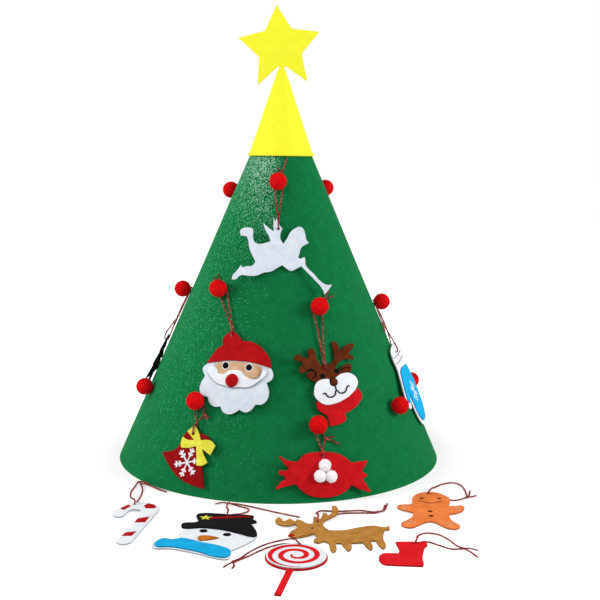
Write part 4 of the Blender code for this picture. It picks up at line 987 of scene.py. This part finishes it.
def hungThread(ornament):
    # round the pompom's foot, down behind the board, through its hole and up again
    place = swingFrame(ornament["joint"])
    azimuth, share = ornament["pompom"]
    foot = wallFrame(azimuth, share * wall["height"])
    hole, knotSpot = ornament["hole"], ornament["knot"]
    lift = thread["gap"] + ornament.get("lift", 0)
    down = math.degrees(math.atan2(hole[1], hole[0]))       # from the pompom to the hole
    hand = 1 if knotSpot[0] > hole[0] else -1               # the side on which the loop comes back
    arc = []
    for index in range(7):
        angle = math.radians(down - hand * (180 + thread["neckTurn"] * (index / 6 - 0.5)))
        spot = Vector((math.cos(angle), math.sin(angle), 0)) * thread["neckRadius"]
        spot.z = threadRadius + lift
        arc.append(place.inverted() @ (foot @ spot))
    level = thread["boardLift"] + thread["gap"] / 2
    through = holeTurn(hole, level)
    edge = hole[1] + ornament["edgeAbove"]
    behind = Vector((hole[0], edge, level - thread["gap"] - threadRadius))
    ahead = Vector((hole[0], edge, through[-1].z))
    sides = []
    for start, end in ((behind, arc[0]), (ahead, arc[-1])):
        side = []
        for share in (0.33, 0.67):
            spot = start.lerp(end, share)
            bow = thread["slack"] * 4 * share * (1 - share)
            side.append(onWall(place, spot.x, spot.y, threadRadius + lift + bow))
        sides.append(side)
    knot = onWall(place, knotSpot[0], knotSpot[1], thread["knotRadius"] + lift)
    below = [ahead] + through[::-1] + [behind] + sides[0]
    keys = arc[4:] + sides[1][::-1] + below + arc[:3] if ornament["knotAbove"] else below + arc
    tails = [[place @ onWall(place, x, y, z + lift - thread["gap"]) for x, y, z in tail]
             for tail in ornament["tails"]]
    makeThread(ornament, [place @ key for key in keys], place @ knot, tails, place @ through[2])


def laidThread(ornament, board):
    # a loop that lies on the floor, through the hole of a loose ornament
    def onFloor(spots):
        low = threadRadius + thread["gap"]
        return [treeAxis + Vector((spot[0], spot[1], spot[2] if len(spot) > 2 else low)) for spot in spots]

    through = [board @ key for key in holeTurn((0, 0), 0, ornament.get("towards", 90))]
    keys = onFloor(ornament["over"])[::-1] + through[::-1] + onFloor(ornament["under"])
    knot = onFloor([(*ornament["knot"], thread["knotRadius"] + thread["knotGap"])])[0]
    makeThread(ornament, keys, knot, [onFloor(tail) for tail in ornament["tails"]], through[2])


# Hung ornaments. The pompom is an azimuth and a share of the wall's height, and the places of the
# hole, the knot and the tails are in metres from the hinge.

angel = {
    "body": "hung_angel", "joint": "angel_swing", "thread": ("angelThread", "angel_thread"),
    "boards": [("feltAngel", "angel", softWhiteFelt)],
    "pompom": (-1.9, 0.737), "hole": (-0.0001, -0.0704), "edgeAbove": 0.0125,
    "knot": (0.0050, 0.0175), "knotAbove": True,
    "lift": 0.0006,     # of the thread over the wall, which the swing brings nearer
    "tails": [[(0.008, 0.026, 0.0022), (0.0125, 0.0425, 0.0016)],
              [(0.001, 0.022, 0.003), (-0.002, 0.026, 0.003)]],
}


nose = {
    "radius": 0.0097,
    "inset": 0.0001,        # from the CAD nose's back and front
    "segments": (36, 22),
    "foot": 0.04,
}


def santaNose(board):
    boxLow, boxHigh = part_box("santa_nose")
    middle = board.inverted() @ ((boxLow + boxHigh) / 2)
    low, high = levels("santa_nose", board)
    size = (nose["radius"], nose["radius"], high - low - 2 * nose["inset"])
    place = board @ Matrix.Translation((middle.x, middle.y, low + nose["inset"]))
    ball = dome(size, place, nose["segments"], 0, nose["foot"])
    finishPiece("feltNose", ball, redFelt, "hung_santa", 60, ["santa_nose"])


santa = {
    "body": "hung_santa", "joint": "santa_swing", "thread": ("santaThread", "santa_thread"),
    "boards": [("feltBeard", "santa_beard", softWhiteFelt), ("feltHat", "santa_hat", redFelt),
               ("feltFace", "santa_face", peachFelt)],
    "pompom": (-37.2, 0.470), "hole": (0.0285, -0.0675), "edgeAbove": 0.0085,
    "knot": (-0.0110, 0.0130), "knotAbove": True,
    "tails": [[(-0.016, 0.0165, 0.0026), (-0.0225, 0.0215, 0.003)],
              [(-0.0115, 0.0190, 0.0032), (-0.014, 0.0255, 0.004)]],
    "details": [
        {"make": patch, "name": "feltMoustache", "on": "santa_face", "over": -0.4, "thickness": 0.9,
         "felt": whiteFelt,
         "at": [[(-25.6, -56.0), (-26.0, -50.0), (-21.0, -46.5), (-12.8, -49.5), (-9.8, -56.0),
                 (-1.4, -56.4), (7.0, -50.6), (16.3, -49.2), (24.8, -50.6), (31.0, -56.4), (43.5, -60.0),
                 (53.0, -58.0), (56.5, -48.5), (61.5, -46.0), (62.5, -51.5), (56.0, -59.5), (48.6, -66.6),
                 (38.9, -72.0), (24.9, -73.2), (14.0, -74.6), (3.2, -73.0), (-10.6, -69.8),
                 (-20.6, -62.6)]]},
        {"make": patch, "name": "eyeRing#", "on": "santa_face", "over": -0.3, "thickness": 0.7,
         "felt": whiteFelt, "at": [radial((-0.3, -44.0), [5.9], 15), radial((35.4, -44.0), [5.9], 15)]},
        {"make": roundSpot, "name": "santaEye#", "on": "santa_face", "over": 0.4, "radius": 4.7,
         "height": 1.6, "felt": blackFelt, "at": [(-0.3, -44.0), (35.4, -44.0)]},
        # painted shadow: a grey line sewn along the moustache's lower edge, where it casts a thin shadow
        {"make": sewnLine, "name": "moustacheLine", "on": "santa_face", "over": 0.2, "radius": 0.48,
         "felt": shadowGreyThread,
         "at": [[(-25.4, -57.6), (-20.6, -62.8), (-10.6, -70.0), (3.2, -73.2), (14.0, -74.8), (24.9, -73.4),
                 (38.9, -72.2), (48.6, -66.8), (56.0, -59.8)]]},
        # painted shade: brown lines sewn where the face's side edges lie in shade
        {"make": sewnLine, "name": "cheekLine#", "on": "santa_face", "radius": 0.35, "felt": brownThread,
         "at": [[(-16.4, -40.8), (-17.4, -47.0), (-15.6, -53.0)],
                [(48.0, -42.6), (52.6, -47.2), (51.6, -54.6)]]},
    ],
    "extra": santaNose,
}
deer = {
    "body": "hung_deer", "joint": "deer_swing", "thread": ("deerThread", "deer_thread"),
    "boards": [("feltDeerHead", "deer_head", brownFelt), ("feltScarf", "deer_scarf", scarfFelt),
               ("feltMuzzle", "deer_muzzle", whiteFelt)],
    "pompom": (22.9, 0.434), "hole": (-0.0046, -0.0886), "edgeAbove": 0.0085,
    "knot": (0.0140, 0.0110), "knotAbove": True, "lift": 0.0006,
    "tails": [[(0.020, 0.0140, 0.0026), (0.0300, 0.0170, 0.003)],
              [(0.0165, 0.0175, 0.0032), (0.023, 0.0235, 0.004)]],
    "details": [
        {"make": roundSpot, "name": "deerEye#", "on": "deer_head", "radius": 4.2, "height": 1.4,
         "squash": 3.4 / 4.2, "felt": blackFelt, "at": [(-5.6, -10.5), (17.6, -5.2)]},
        {"make": roundSpot, "name": "deerNoseEdge", "on": "deer_muzzle", "over": -1.2, "radius": 7.3,
         "height": 1.5, "squash": 0.85, "felt": darkBrownFelt, "at": [(9.6, -19.8)]},
        {"make": roundSpot, "name": "deerNose", "on": "deer_muzzle", "over": -1.0, "radius": 6.4,
         "height": 2.6, "squash": 0.85, "felt": brownFelt, "at": [(9.6, -19.8)]},
        {"make": sewnLine, "name": "deerMouth#", "on": "deer_muzzle", "over": 0.1, "radius": 1.2,
         "felt": blackThread,
         "at": [[(-10.8, -36.4), (-6.4, -35.8), (-4.6, -39.6), (1.8, -41.7), (8.0, -38.4), (11.0, -33.0),
                 (15.0, -36.6), (21.5, -37.2), (26.8, -33.0), (28.6, -29.4), (32.2, -28.0)],
                [(10.2, -25.5), (11.0, -33.0)]]},
        {"make": sewnLine, "name": "deerEar#", "on": "deer_head", "over": 0.1, "radius": 0.9,
         "felt": darkBrownFelt,
         "at": [[(-29.0, -1.5), (-21.0, 0.6), (-15.4, -6.6), (-22.0, -13.4)],
                [(24.5, -5.6), (31.0, -1.4), (38.0, -1.6)]]},
    ],
}
bell = {
    "body": "hung_bell", "joint": "bell_swing", "thread": ("bellThread", "bell_thread"),
    "boards": [("feltBell", "bell", bellFelt), ("feltBow", "bell_bow", bowFelt)],
    "pompom": (-33.1, 0.206), "hole": (0.0044, -0.0452), "edgeAbove": 0.0110,
    "knot": (0.0120, -0.0175), "knotAbove": False,
    "tails": [[(0.016, -0.020, 0.003), (0.0225, -0.0185, 0.004)],
              [(0.0165, -0.0155, 0.004), (0.020, -0.0235, 0.0045)]],
    "details": [
        {"make": snowflake, "name": "bellFlake", "on": "bell", "over": 0.1, "felt": whiteFelt,
         "at": [(0.2, -40.4)], "reach": 21.0, "turn": 17.0, "width": 2.4,
         "branches": [(0.46, 5.2), (0.72, 5.6)]},       # how far out along each arm, and their length
        {"make": roundSpot, "name": "bowKnot", "on": "bell_bow", "over": -0.2, "radius": 3.0, "height": 1.2,
         "felt": bowFelt, "at": [(17.0, -12.0)]},
    ],
}
berries = {
    "at": [(0.0, -13.5), (-8.5, -27.5), (7.0, -29.0)],
    "radius": 0.0080,
    "flatness": 0.60,
    "lumps": 0.05,
    "coat": {"Density": 700000.0, "Fibre Length": 0.0013, "Fibre Width": 0.0004, "Lean": 0.6},
    "seed": 41,
}


def sweetBerries(board):
    low, high = levels("sweet_berries", board)
    together = bmesh.new()
    for number, (x, y) in enumerate(berries["at"]):
        place = board @ Matrix.Translation((x * mm, y * mm, (low + high) / 2))
        place = place @ Matrix.Diagonal((1, 1, berries["flatness"], 1))
        mesh = newMesh("berry", woollyBall(berries["radius"], berries["lumps"], berryWool, berries["coat"],
                                           berries["seed"] + number, place))
        together.from_mesh(mesh)
        bpy.data.meshes.remove(mesh)
    finishPiece("woolBerries", together, berryWool, "hung_sweet", 60, ["sweet_berries"])


sweet = {
    "body": "hung_sweet", "joint": "sweet_swing", "thread": ("sweetThread", "sweet_thread"),
    "boards": [("feltSweet", "sweet", scarfFelt, 150)],     # its tips are rounded
    "pompom": (15.4, 0.166), "hole": (0.0042, -0.0422), "edgeAbove": 0.0080,
    "knot": (0.0100, -0.0190), "knotAbove": False,
    "tails": [[(0.019, -0.021, 0.003), (0.0310, -0.0275, 0.004)],
              [(0.016, -0.017, 0.004), (0.0235, -0.0165, 0.0045)]],
    "extra": sweetBerries,
}
fir = {
    "body": "hung_fir", "joint": "fir_swing", "thread": ("firThread", "fir_thread"),
    "boards": [("feltFir", "fir", firFelt)],
    "pompom": (-86.5, 0.444), "hole": (0.0, -0.0840), "edgeAbove": 0.0120,
    "knot": (0.0120, -0.0400), "knotAbove": False,
    "tails": [[(0.016, -0.048, 0.003), (0.0175, -0.0600, 0.004)],
              [(0.0185, -0.044, 0.004), (0.0225, -0.0550, 0.0045)]],
    "details": [
        {"make": roundSpot, "name": "firBead#", "on": "fir", "radius": 2.1, "height": 1.4,
         "felt": brightRedFelt,
         "at": [(-9.0, -14.0), (9.5, -15.0), (0.5, -27.0), (-17.5, -34.5), (17.5, -35.0), (-1.0, -45.0),
                (-27.0, -55.0), (26.5, -55.5), (10.5, -53.0)]},
    ],
}
mitten = {
    "body": "hung_mitten", "joint": "mitten_swing", "thread": ("mittenThread", "mitten_thread"),
    "boards": [("feltMittenBack", "mitten_back", whiteFelt), ("feltMittenFront", "mitten_front", blueFelt)],
    "pompom": (89.0, 0.413), "hole": (-0.0160, -0.0790), "edgeAbove": 0.0095,
    "knot": (-0.0220, -0.0300), "knotAbove": False, "lift": 0.0007,
    "tails": [[(-0.028, -0.034, 0.003), (-0.0350, -0.0420, 0.004)],
              [(-0.027, -0.028, 0.004), (-0.0360, -0.0325, 0.0045)]],
    "details": [
        {"make": snowflake, "name": "mittenFlake", "on": "mitten_front", "over": 0.1, "felt": whiteFelt,
         "at": [(6.0, -68.0)], "reach": 17.0, "turn": 30.0, "width": 1.8,
         "branches": [(0.50, 4.4), (0.76, 4.4)]},
        {"make": sewnLine, "name": "mittenCuff#", "on": "mitten_back", "radius": 0.7, "felt": redThread,
         "slot": "red_felt",
         "at": [[(-33.0, -5.0), (0.0, -6.0), (33.0, -5.0)], [(-34.0, -14.0), (0.0, -15.5), (34.0, -14.0)]]},
    ],
}

for ornament in (angel, santa, deer, bell, sweet, fir, mitten):
    makeOrnament(ornament)
    hungThread(ornament)
print("hung ornaments made")


# Loose ornaments. The thread's places are in metres from the tree's axis, over and under the felt,
# and towards is the side on which it goes through the hole, in degrees.

cane = {
    "body": "loose_cane", "thread": ("caneThread", "candy_cane_thread"),
    "boards": [("feltCane", "candy_cane", whiteFelt)],
    "over": [(-0.1900, -0.2530, 0.0058), (-0.1970, -0.2380, 0.0030), (-0.2010, -0.2100),
             (-0.1995, -0.1860)],
    "under": [(-0.1865, -0.2530), (-0.1850, -0.2350), (-0.1860, -0.2050), (-0.1905, -0.1840)],
    "knot": (-0.1965, -0.170),
    "tails": [[(-0.190, -0.1655), (-0.178, -0.182), (-0.152, -0.2085)],
              [(-0.193, -0.175, 0.0024), (-0.184, -0.181, 0.0030), (-0.160, -0.206, 0.0028)]],
    "details": [
        {"make": patch, "name": "caneStripe#", "on": "candy_cane", "over": -0.1, "thickness": 0.4,
         "rounding": 0.1, "sharpTurn": 20, "felt": redFelt,
         "at": [[(-16.6, -16.6), (-8.0, -2.4), (-3.6, -7.2), (-11.0, -22.2)],
                [(13.1, -5.0), (17.9, 3.4), (26.6, -2.0), (30.2, -10.5), (28.6, -15.0), (16.8, -15.4)],
                [(9.6, -65.2), (12.6, -51.4), (26.6, -44.7), (23.4, -64.9)],
                [(1.4, -110.0), (4.0, -98.9), (17.6, -94.7), (13.8, -109.7)]]},
    ],
}
snowman = {
    "body": "loose_snowman", "thread": ("snowmanThread", "snowman_thread"),
    "boards": [("feltSnowHead", "snowman_head", whiteFelt), ("feltSnowHat", "snowman_hat", blackFelt),
               ("feltSnowScarf", "snowman_scarf", blueFelt)],
    "over": [(-0.0598, -0.3005, 0.0082), (-0.0605, -0.2840, 0.0030), (-0.0640, -0.2645)],
    "under": [(-0.0572, -0.2990), (-0.0440, -0.2930), (-0.0345, -0.2840), (-0.0350, -0.2740),
              (-0.0420, -0.2675), (-0.0520, -0.2600)],
    "knot": (-0.062, -0.2560),
    "tails": [[(-0.045, -0.262, 0.0030), (-0.020, -0.272), (0.010, -0.290), (0.034, -0.303)],
              [(-0.072, -0.2520, 0.0020), (-0.080, -0.2560)]],
    "details": [
        {"make": patch, "name": "hatBand", "on": "snowman_hat", "over": -0.1, "thickness": 0.5,
         "rounding": 0.15, "sharpTurn": 30, "felt": bellFelt,
         "at": [[(-23.7, -3.2), (29.5, 3.0), (31.6, -1.6), (-22.8, -10.0)]]},
        {"make": patch, "name": "hatStar", "on": "snowman_hat", "over": 0.2, "thickness": 0.6,
         "rounding": 0.15, "sharpTurn": 20, "felt": bowFelt,
         "at": [radial((-27.2, -6.4), [8.4, 8.4 * 0.45], 10, 90)]},
        {"make": roundSpot, "name": "snowEye#", "on": "snowman_head", "radius": 5.2, "height": 1.3,
         "felt": blackFelt, "at": [(-26.3, -45.4), (3.8, -56.4)]},
        {"make": patch, "name": "carrotNose", "on": "snowman_head", "thickness": 1.4,
         "rounding": 0.4, "sharpTurn": 75, "felt": carrotFelt,
         "at": [[(-29.4, -64.0), (-18.7, -62.6), (-11.0, -65.2), (-5.1, -68.8), (-17.0, -75.2),
                 (-28.0, -78.0), (-30.6, -71.0)]]},
    ],
}
spiral = {
    "faceSpread": 1.06,     # the white face was trimmed after sewing and reaches nearly to the rim
    "turn": (-200.0, 640.0),
    "start": 11.8,
    "pitch": 12.6,
    "width": 6.2,
    "reach": 33.4,          # where the spiral meets the face's edge
    "blunt": (0.25, 4),     # its width at the start, as a share, and how fast that grows
    "thin": (0.05, 7),      # and at the end
    "steps": 84,
    "sunk": 0.0001,         # into the face
    "look": {"thickness": 0.4, "rounding": 0.1, "felt": brightRedFelt},
}


def lollipopFace(board):
    # the white face, and a spiral that starts with a blunt point and thins out along the face's edge
    lines, low, high = cutLines("lollipop_face", board)
    disc = [Vector(point) for point in lines[0]]
    middle = sum(disc, Vector((0, 0))) / len(disc)
    lines[0] = [middle + (point - middle) * spiral["faceSpread"] for point in disc]
    flatPiece("feltLollipopFace", lines, low, high, board, "loose_lollipop", whiteFelt, ["lollipop_face"])
    outer, inner = [], []
    first, last = spiral["turn"]
    for index in range(spiral["steps"] + 1):
        share = index / spiral["steps"]
        angle = first + (last - first) * share
        half = spiral["width"] / 2 * min(1, spiral["blunt"][0] + share * spiral["blunt"][1])
        edge = min(spiral["start"] + spiral["pitch"] * angle / 360 + half, spiral["reach"])
        across = 2 * half * min(1, spiral["thin"][0] + (1 - share) * spiral["thin"][1])
        for reach, line in ((edge, outer), (edge - across, inner)):
            line.append((middle.x / mm + reach * math.cos(math.radians(angle)),
                         middle.y / mm + reach * math.sin(math.radians(angle))))
    level = high - spiral["sunk"]
    patch("lollipopSpiral", outer + inner[::-1], board, "loose_lollipop", level, spiral["look"])


lollipop = {
    "body": "loose_lollipop", "thread": ("lollipopThread", "lollipop_thread"),
    "boards": [("feltLollipop", "lollipop", brightRedFelt)],
    "towards": 128,
    "over": [(0.026, -0.391, 0.006), (0.012, -0.384), (-0.006, -0.397), (-0.024, -0.420), (-0.036, -0.443)],
    "under": [(0.023, -0.396), (0.006, -0.400), (-0.012, -0.417), (-0.028, -0.438), (-0.038, -0.449)],
    "knot": (-0.043, -0.4560),
    "tails": [[(-0.049, -0.4610), (-0.053, -0.4680)], [(-0.041, -0.4640), (-0.043, -0.4710)]],
    "extra": lollipopFace,
}
reindeer = {
    "body": "loose_reindeer", "thread": ("reindeerThread", "reindeer_thread"),
    "boards": [("feltReindeer", "reindeer", tanFelt)],
    "over": [(0.0580, -0.3060, 0.0065), (0.0555, -0.2930, 0.0030), (0.0620, -0.2790),
             (0.0757, -0.2795), (0.0890, -0.2795), (0.1155, -0.2756), (0.1320, -0.2810)],
    "under": [(0.0620, -0.3130), (0.0730, -0.3000), (0.0886, -0.2885), (0.1150, -0.2850),
              (0.1320, -0.2850)],
    "knot": (0.1390, -0.2830),
    "tails": [[(0.1440, -0.2760), (0.1490, -0.2540)], [(0.1455, -0.2790, 0.0026), (0.1525, -0.2480)]],
    "details": [
        {"make": roundSpot, "name": "reindeerEye#", "on": "reindeer", "radius": 1.7, "height": 0.9,
         "felt": blackFelt, "at": [(-7.0, -22.6)]},
        {"make": roundSpot, "name": "reindeerNose", "on": "reindeer", "radius": 3.4, "height": 1.6,
         "felt": redFelt, "at": [(-33.0, -46.5)]},
        {"make": sewnLine, "name": "reindeerMouth", "on": "reindeer", "radius": 0.5, "felt": brownThread,
         "at": [[(-24.0, -50.0), (-14.0, -43.5), (-8.0, -40.0)]]},
    ],
}
gingerbread = {
    "body": "loose_gingerbread", "thread": ("gingerbreadThread", "gingerbread_thread"),
    "boards": [("feltGingerbread", "gingerbread_man", orangeFelt)],
    "towards": 50,
    "over": [(0.2190, -0.1960, 0.0060), (0.2270, -0.1757), (0.2400, -0.1620), (0.2560, -0.1560),
             (0.2650, -0.1680), (0.2670, -0.1900), (0.2660, -0.2080)],
    "under": [(0.2230, -0.2080), (0.2340, -0.2210), (0.2420, -0.2310), (0.2520, -0.2295)],
    "knot": (0.2640, -0.2230),
    "tails": [[(0.2700, -0.2080), (0.2740, -0.1903)], [(0.2715, -0.2190, 0.0024), (0.2795, -0.2110)]],
    "details": [
        {"make": roundSpot, "name": "gingerEye#", "on": "gingerbread_man", "radius": 3.0, "height": 1.0,
         "squash": 0.7, "felt": darkBrownFelt, "at": [(-11.8, -20.2), (12.0, -19.6)]},
        {"make": sewnLine, "name": "gingerSmile", "on": "gingerbread_man", "radius": 0.7,
         "felt": brownThread,
         "at": [[(-16.4, -29.1), (-11.5, -34.5), (-1.0, -38.0), (9.7, -34.0), (14.6, -29.1)]]},
        {"make": roundSpot, "name": "gingerButton#", "on": "gingerbread_man", "radius": 3.4, "height": 1.2,
         "squash": 0.65, "felt": darkBrownFelt, "at": [(-6.4, -68.9), (-7.2, -85.9)]},
        {"make": sewnLine, "name": "gingerIcing#", "on": "gingerbread_man", "radius": 0.6,
         "felt": peachFelt,
         "at": [[(29.0, -49.4), (33.4, -53.6), (29.0, -57.8), (33.0, -61.9), (28.6, -66.1)],
                [(-37.4, -47.1), (-41.4, -51.3), (-37.6, -55.5), (-41.0, -59.7), (-37.0, -63.1)],
                [(6.6, -117.8), (10.4, -111.5), (13.4, -117.2), (17.2, -109.2), (20.0, -114.4)],
                [(-42.8, -105.1), (-38.4, -110.8), (-36.2, -103.2), (-31.8, -109.1), (-29.6, -101.1)]]},
    ],
}
stocking = {
    "body": "loose_stocking", "thread": ("stockingThread", "stocking_thread"),
    "boards": [("feltStocking", "stocking", brightRedFelt)],
    "towards": 65,
    "over": [(0.1790, -0.3800, 0.006), (0.1800, -0.3660), (0.1900, -0.3560), (0.2060, -0.3590),
             (0.2175, -0.3770), (0.2250, -0.3970)],
    "under": [(0.1835, -0.3850), (0.1920, -0.3850), (0.2030, -0.3950), (0.2170, -0.4065)],
    "knot": (0.2310, -0.4080),
    "tails": [[(0.2380, -0.4150), (0.2440, -0.4310)], [(0.2385, -0.4070, 0.0024), (0.2480, -0.4100)]],
}

for ornament in (cane, snowman, lollipop, reindeer, gingerbread, stocking):
    laidThread(ornament, makeOrnament(ornament))
print("loose ornaments made")

# Floor, world and lamps

light = {
    "world": 0.38,
    "paper": "#dadada",
    "floorLift": (0.41, 1.0),       # glow of the paper beside the tree and far from it, painted light that grows away from the tree
    "liftFrom": (0.26, 0.52),       # distances from the tree's axis
    "lamps": {                      # power, and place from the tree's axis
        "left": (34.0, (-2.1, -0.5, 1.0)),
        "right": (33.0, (2.0, -0.80, 1.0)),
        "front": (11.0, (-0.5, -1.9, 1.9)),
    },
    "lampSize": 0.9,
    "aim": (0, 0, 0.28),
}


def seenShare(tree):
    # 1 for the rays that see the background, 0 for those that would light the tree with it
    rays = addNode(tree, "ShaderNodeLightPath").outputs
    return addNode(tree, "ShaderNodeMath", {"operation": "MAXIMUM", 0: rays["Is Camera Ray"],
                                            1: rays["Is Glossy Ray"]}).outputs[0]


def makeFloor():
    # matt white paper that glows a little for the camera, so that it meets the white page; the glow is
    # painted light that grows away from the tree and washes out shadows far from it, so only the soft
    # shadows beside the tree stay
    floor = bmesh.new()
    bmesh.ops.create_grid(floor, x_segments=2, y_segments=2, size=6)
    floor.transform(Matrix.Translation((0, 0, -0.0002)))
    ground = addObject("floor", newMesh("floor", floor))
    material = bpy.data.materials.new("white_paper_sweep")
    material.use_nodes = True
    tree = material.node_tree
    tree.nodes.clear()
    paper = addNode(tree, "ShaderNodeBsdfDiffuse", {"Color": hexLinear(light["paper"])})
    spot = addNode(tree, "ShaderNodeTexCoord").outputs["Object"]
    away = addNode(tree, "ShaderNodeVectorMath", {"operation": "DISTANCE", 0: spot, 1: tuple(treeAxis)})
    (near, far), (low, high) = light["liftFrom"], light["floorLift"]
    grown = addNode(tree, "ShaderNodeMapRange", {"From Min": near, "From Max": far, "To Min": low,
                                                 "To Max": high, "Value": away.outputs["Value"]})
    lift = addNode(tree, "ShaderNodeMath", {"operation": "MULTIPLY", 0: seenShare(tree),
                                            1: grown.outputs["Result"]})
    glow = addNode(tree, "ShaderNodeEmission", {"Color": (1, 1, 1, 1), "Strength": lift.outputs[0]})
    both = addNode(tree, "ShaderNodeAddShader", {0: paper.outputs[0], 1: glow.outputs[0]})
    addNode(tree, "ShaderNodeOutputMaterial", {"Surface": both.outputs[0]})
    ground.data.materials.append(material)


def makeLight():
    world = bpy.data.worlds.new("studio")
    scene.world = world
    world.use_nodes = True
    tree = world.node_tree
    tree.nodes.clear()
    strength = addNode(tree, "ShaderNodeMapRange",
                       {"To Min": light["world"], "To Max": 1.0, "Value": seenShare(tree)})
    sky = addNode(tree, "ShaderNodeBackground",
                  {"Color": (1, 1, 1, 1), "Strength": strength.outputs["Result"]})
    addNode(tree, "ShaderNodeOutputWorld", {"Surface": sky.outputs[0]})
    for name, (power, spot) in light["lamps"].items():
        data = bpy.data.lights.new(name, "AREA")
        data.energy = power
        data.size = light["lampSize"]
        lamp = addObject(name, data)
        lamp.location = treeAxis + Vector(spot)
        aim = treeAxis + Vector(light["aim"]) - lamp.location
        lamp.rotation_euler = aim.to_track_quat("-Z", "Y").to_euler()


makeFloor()
makeLight()
writeSizes()
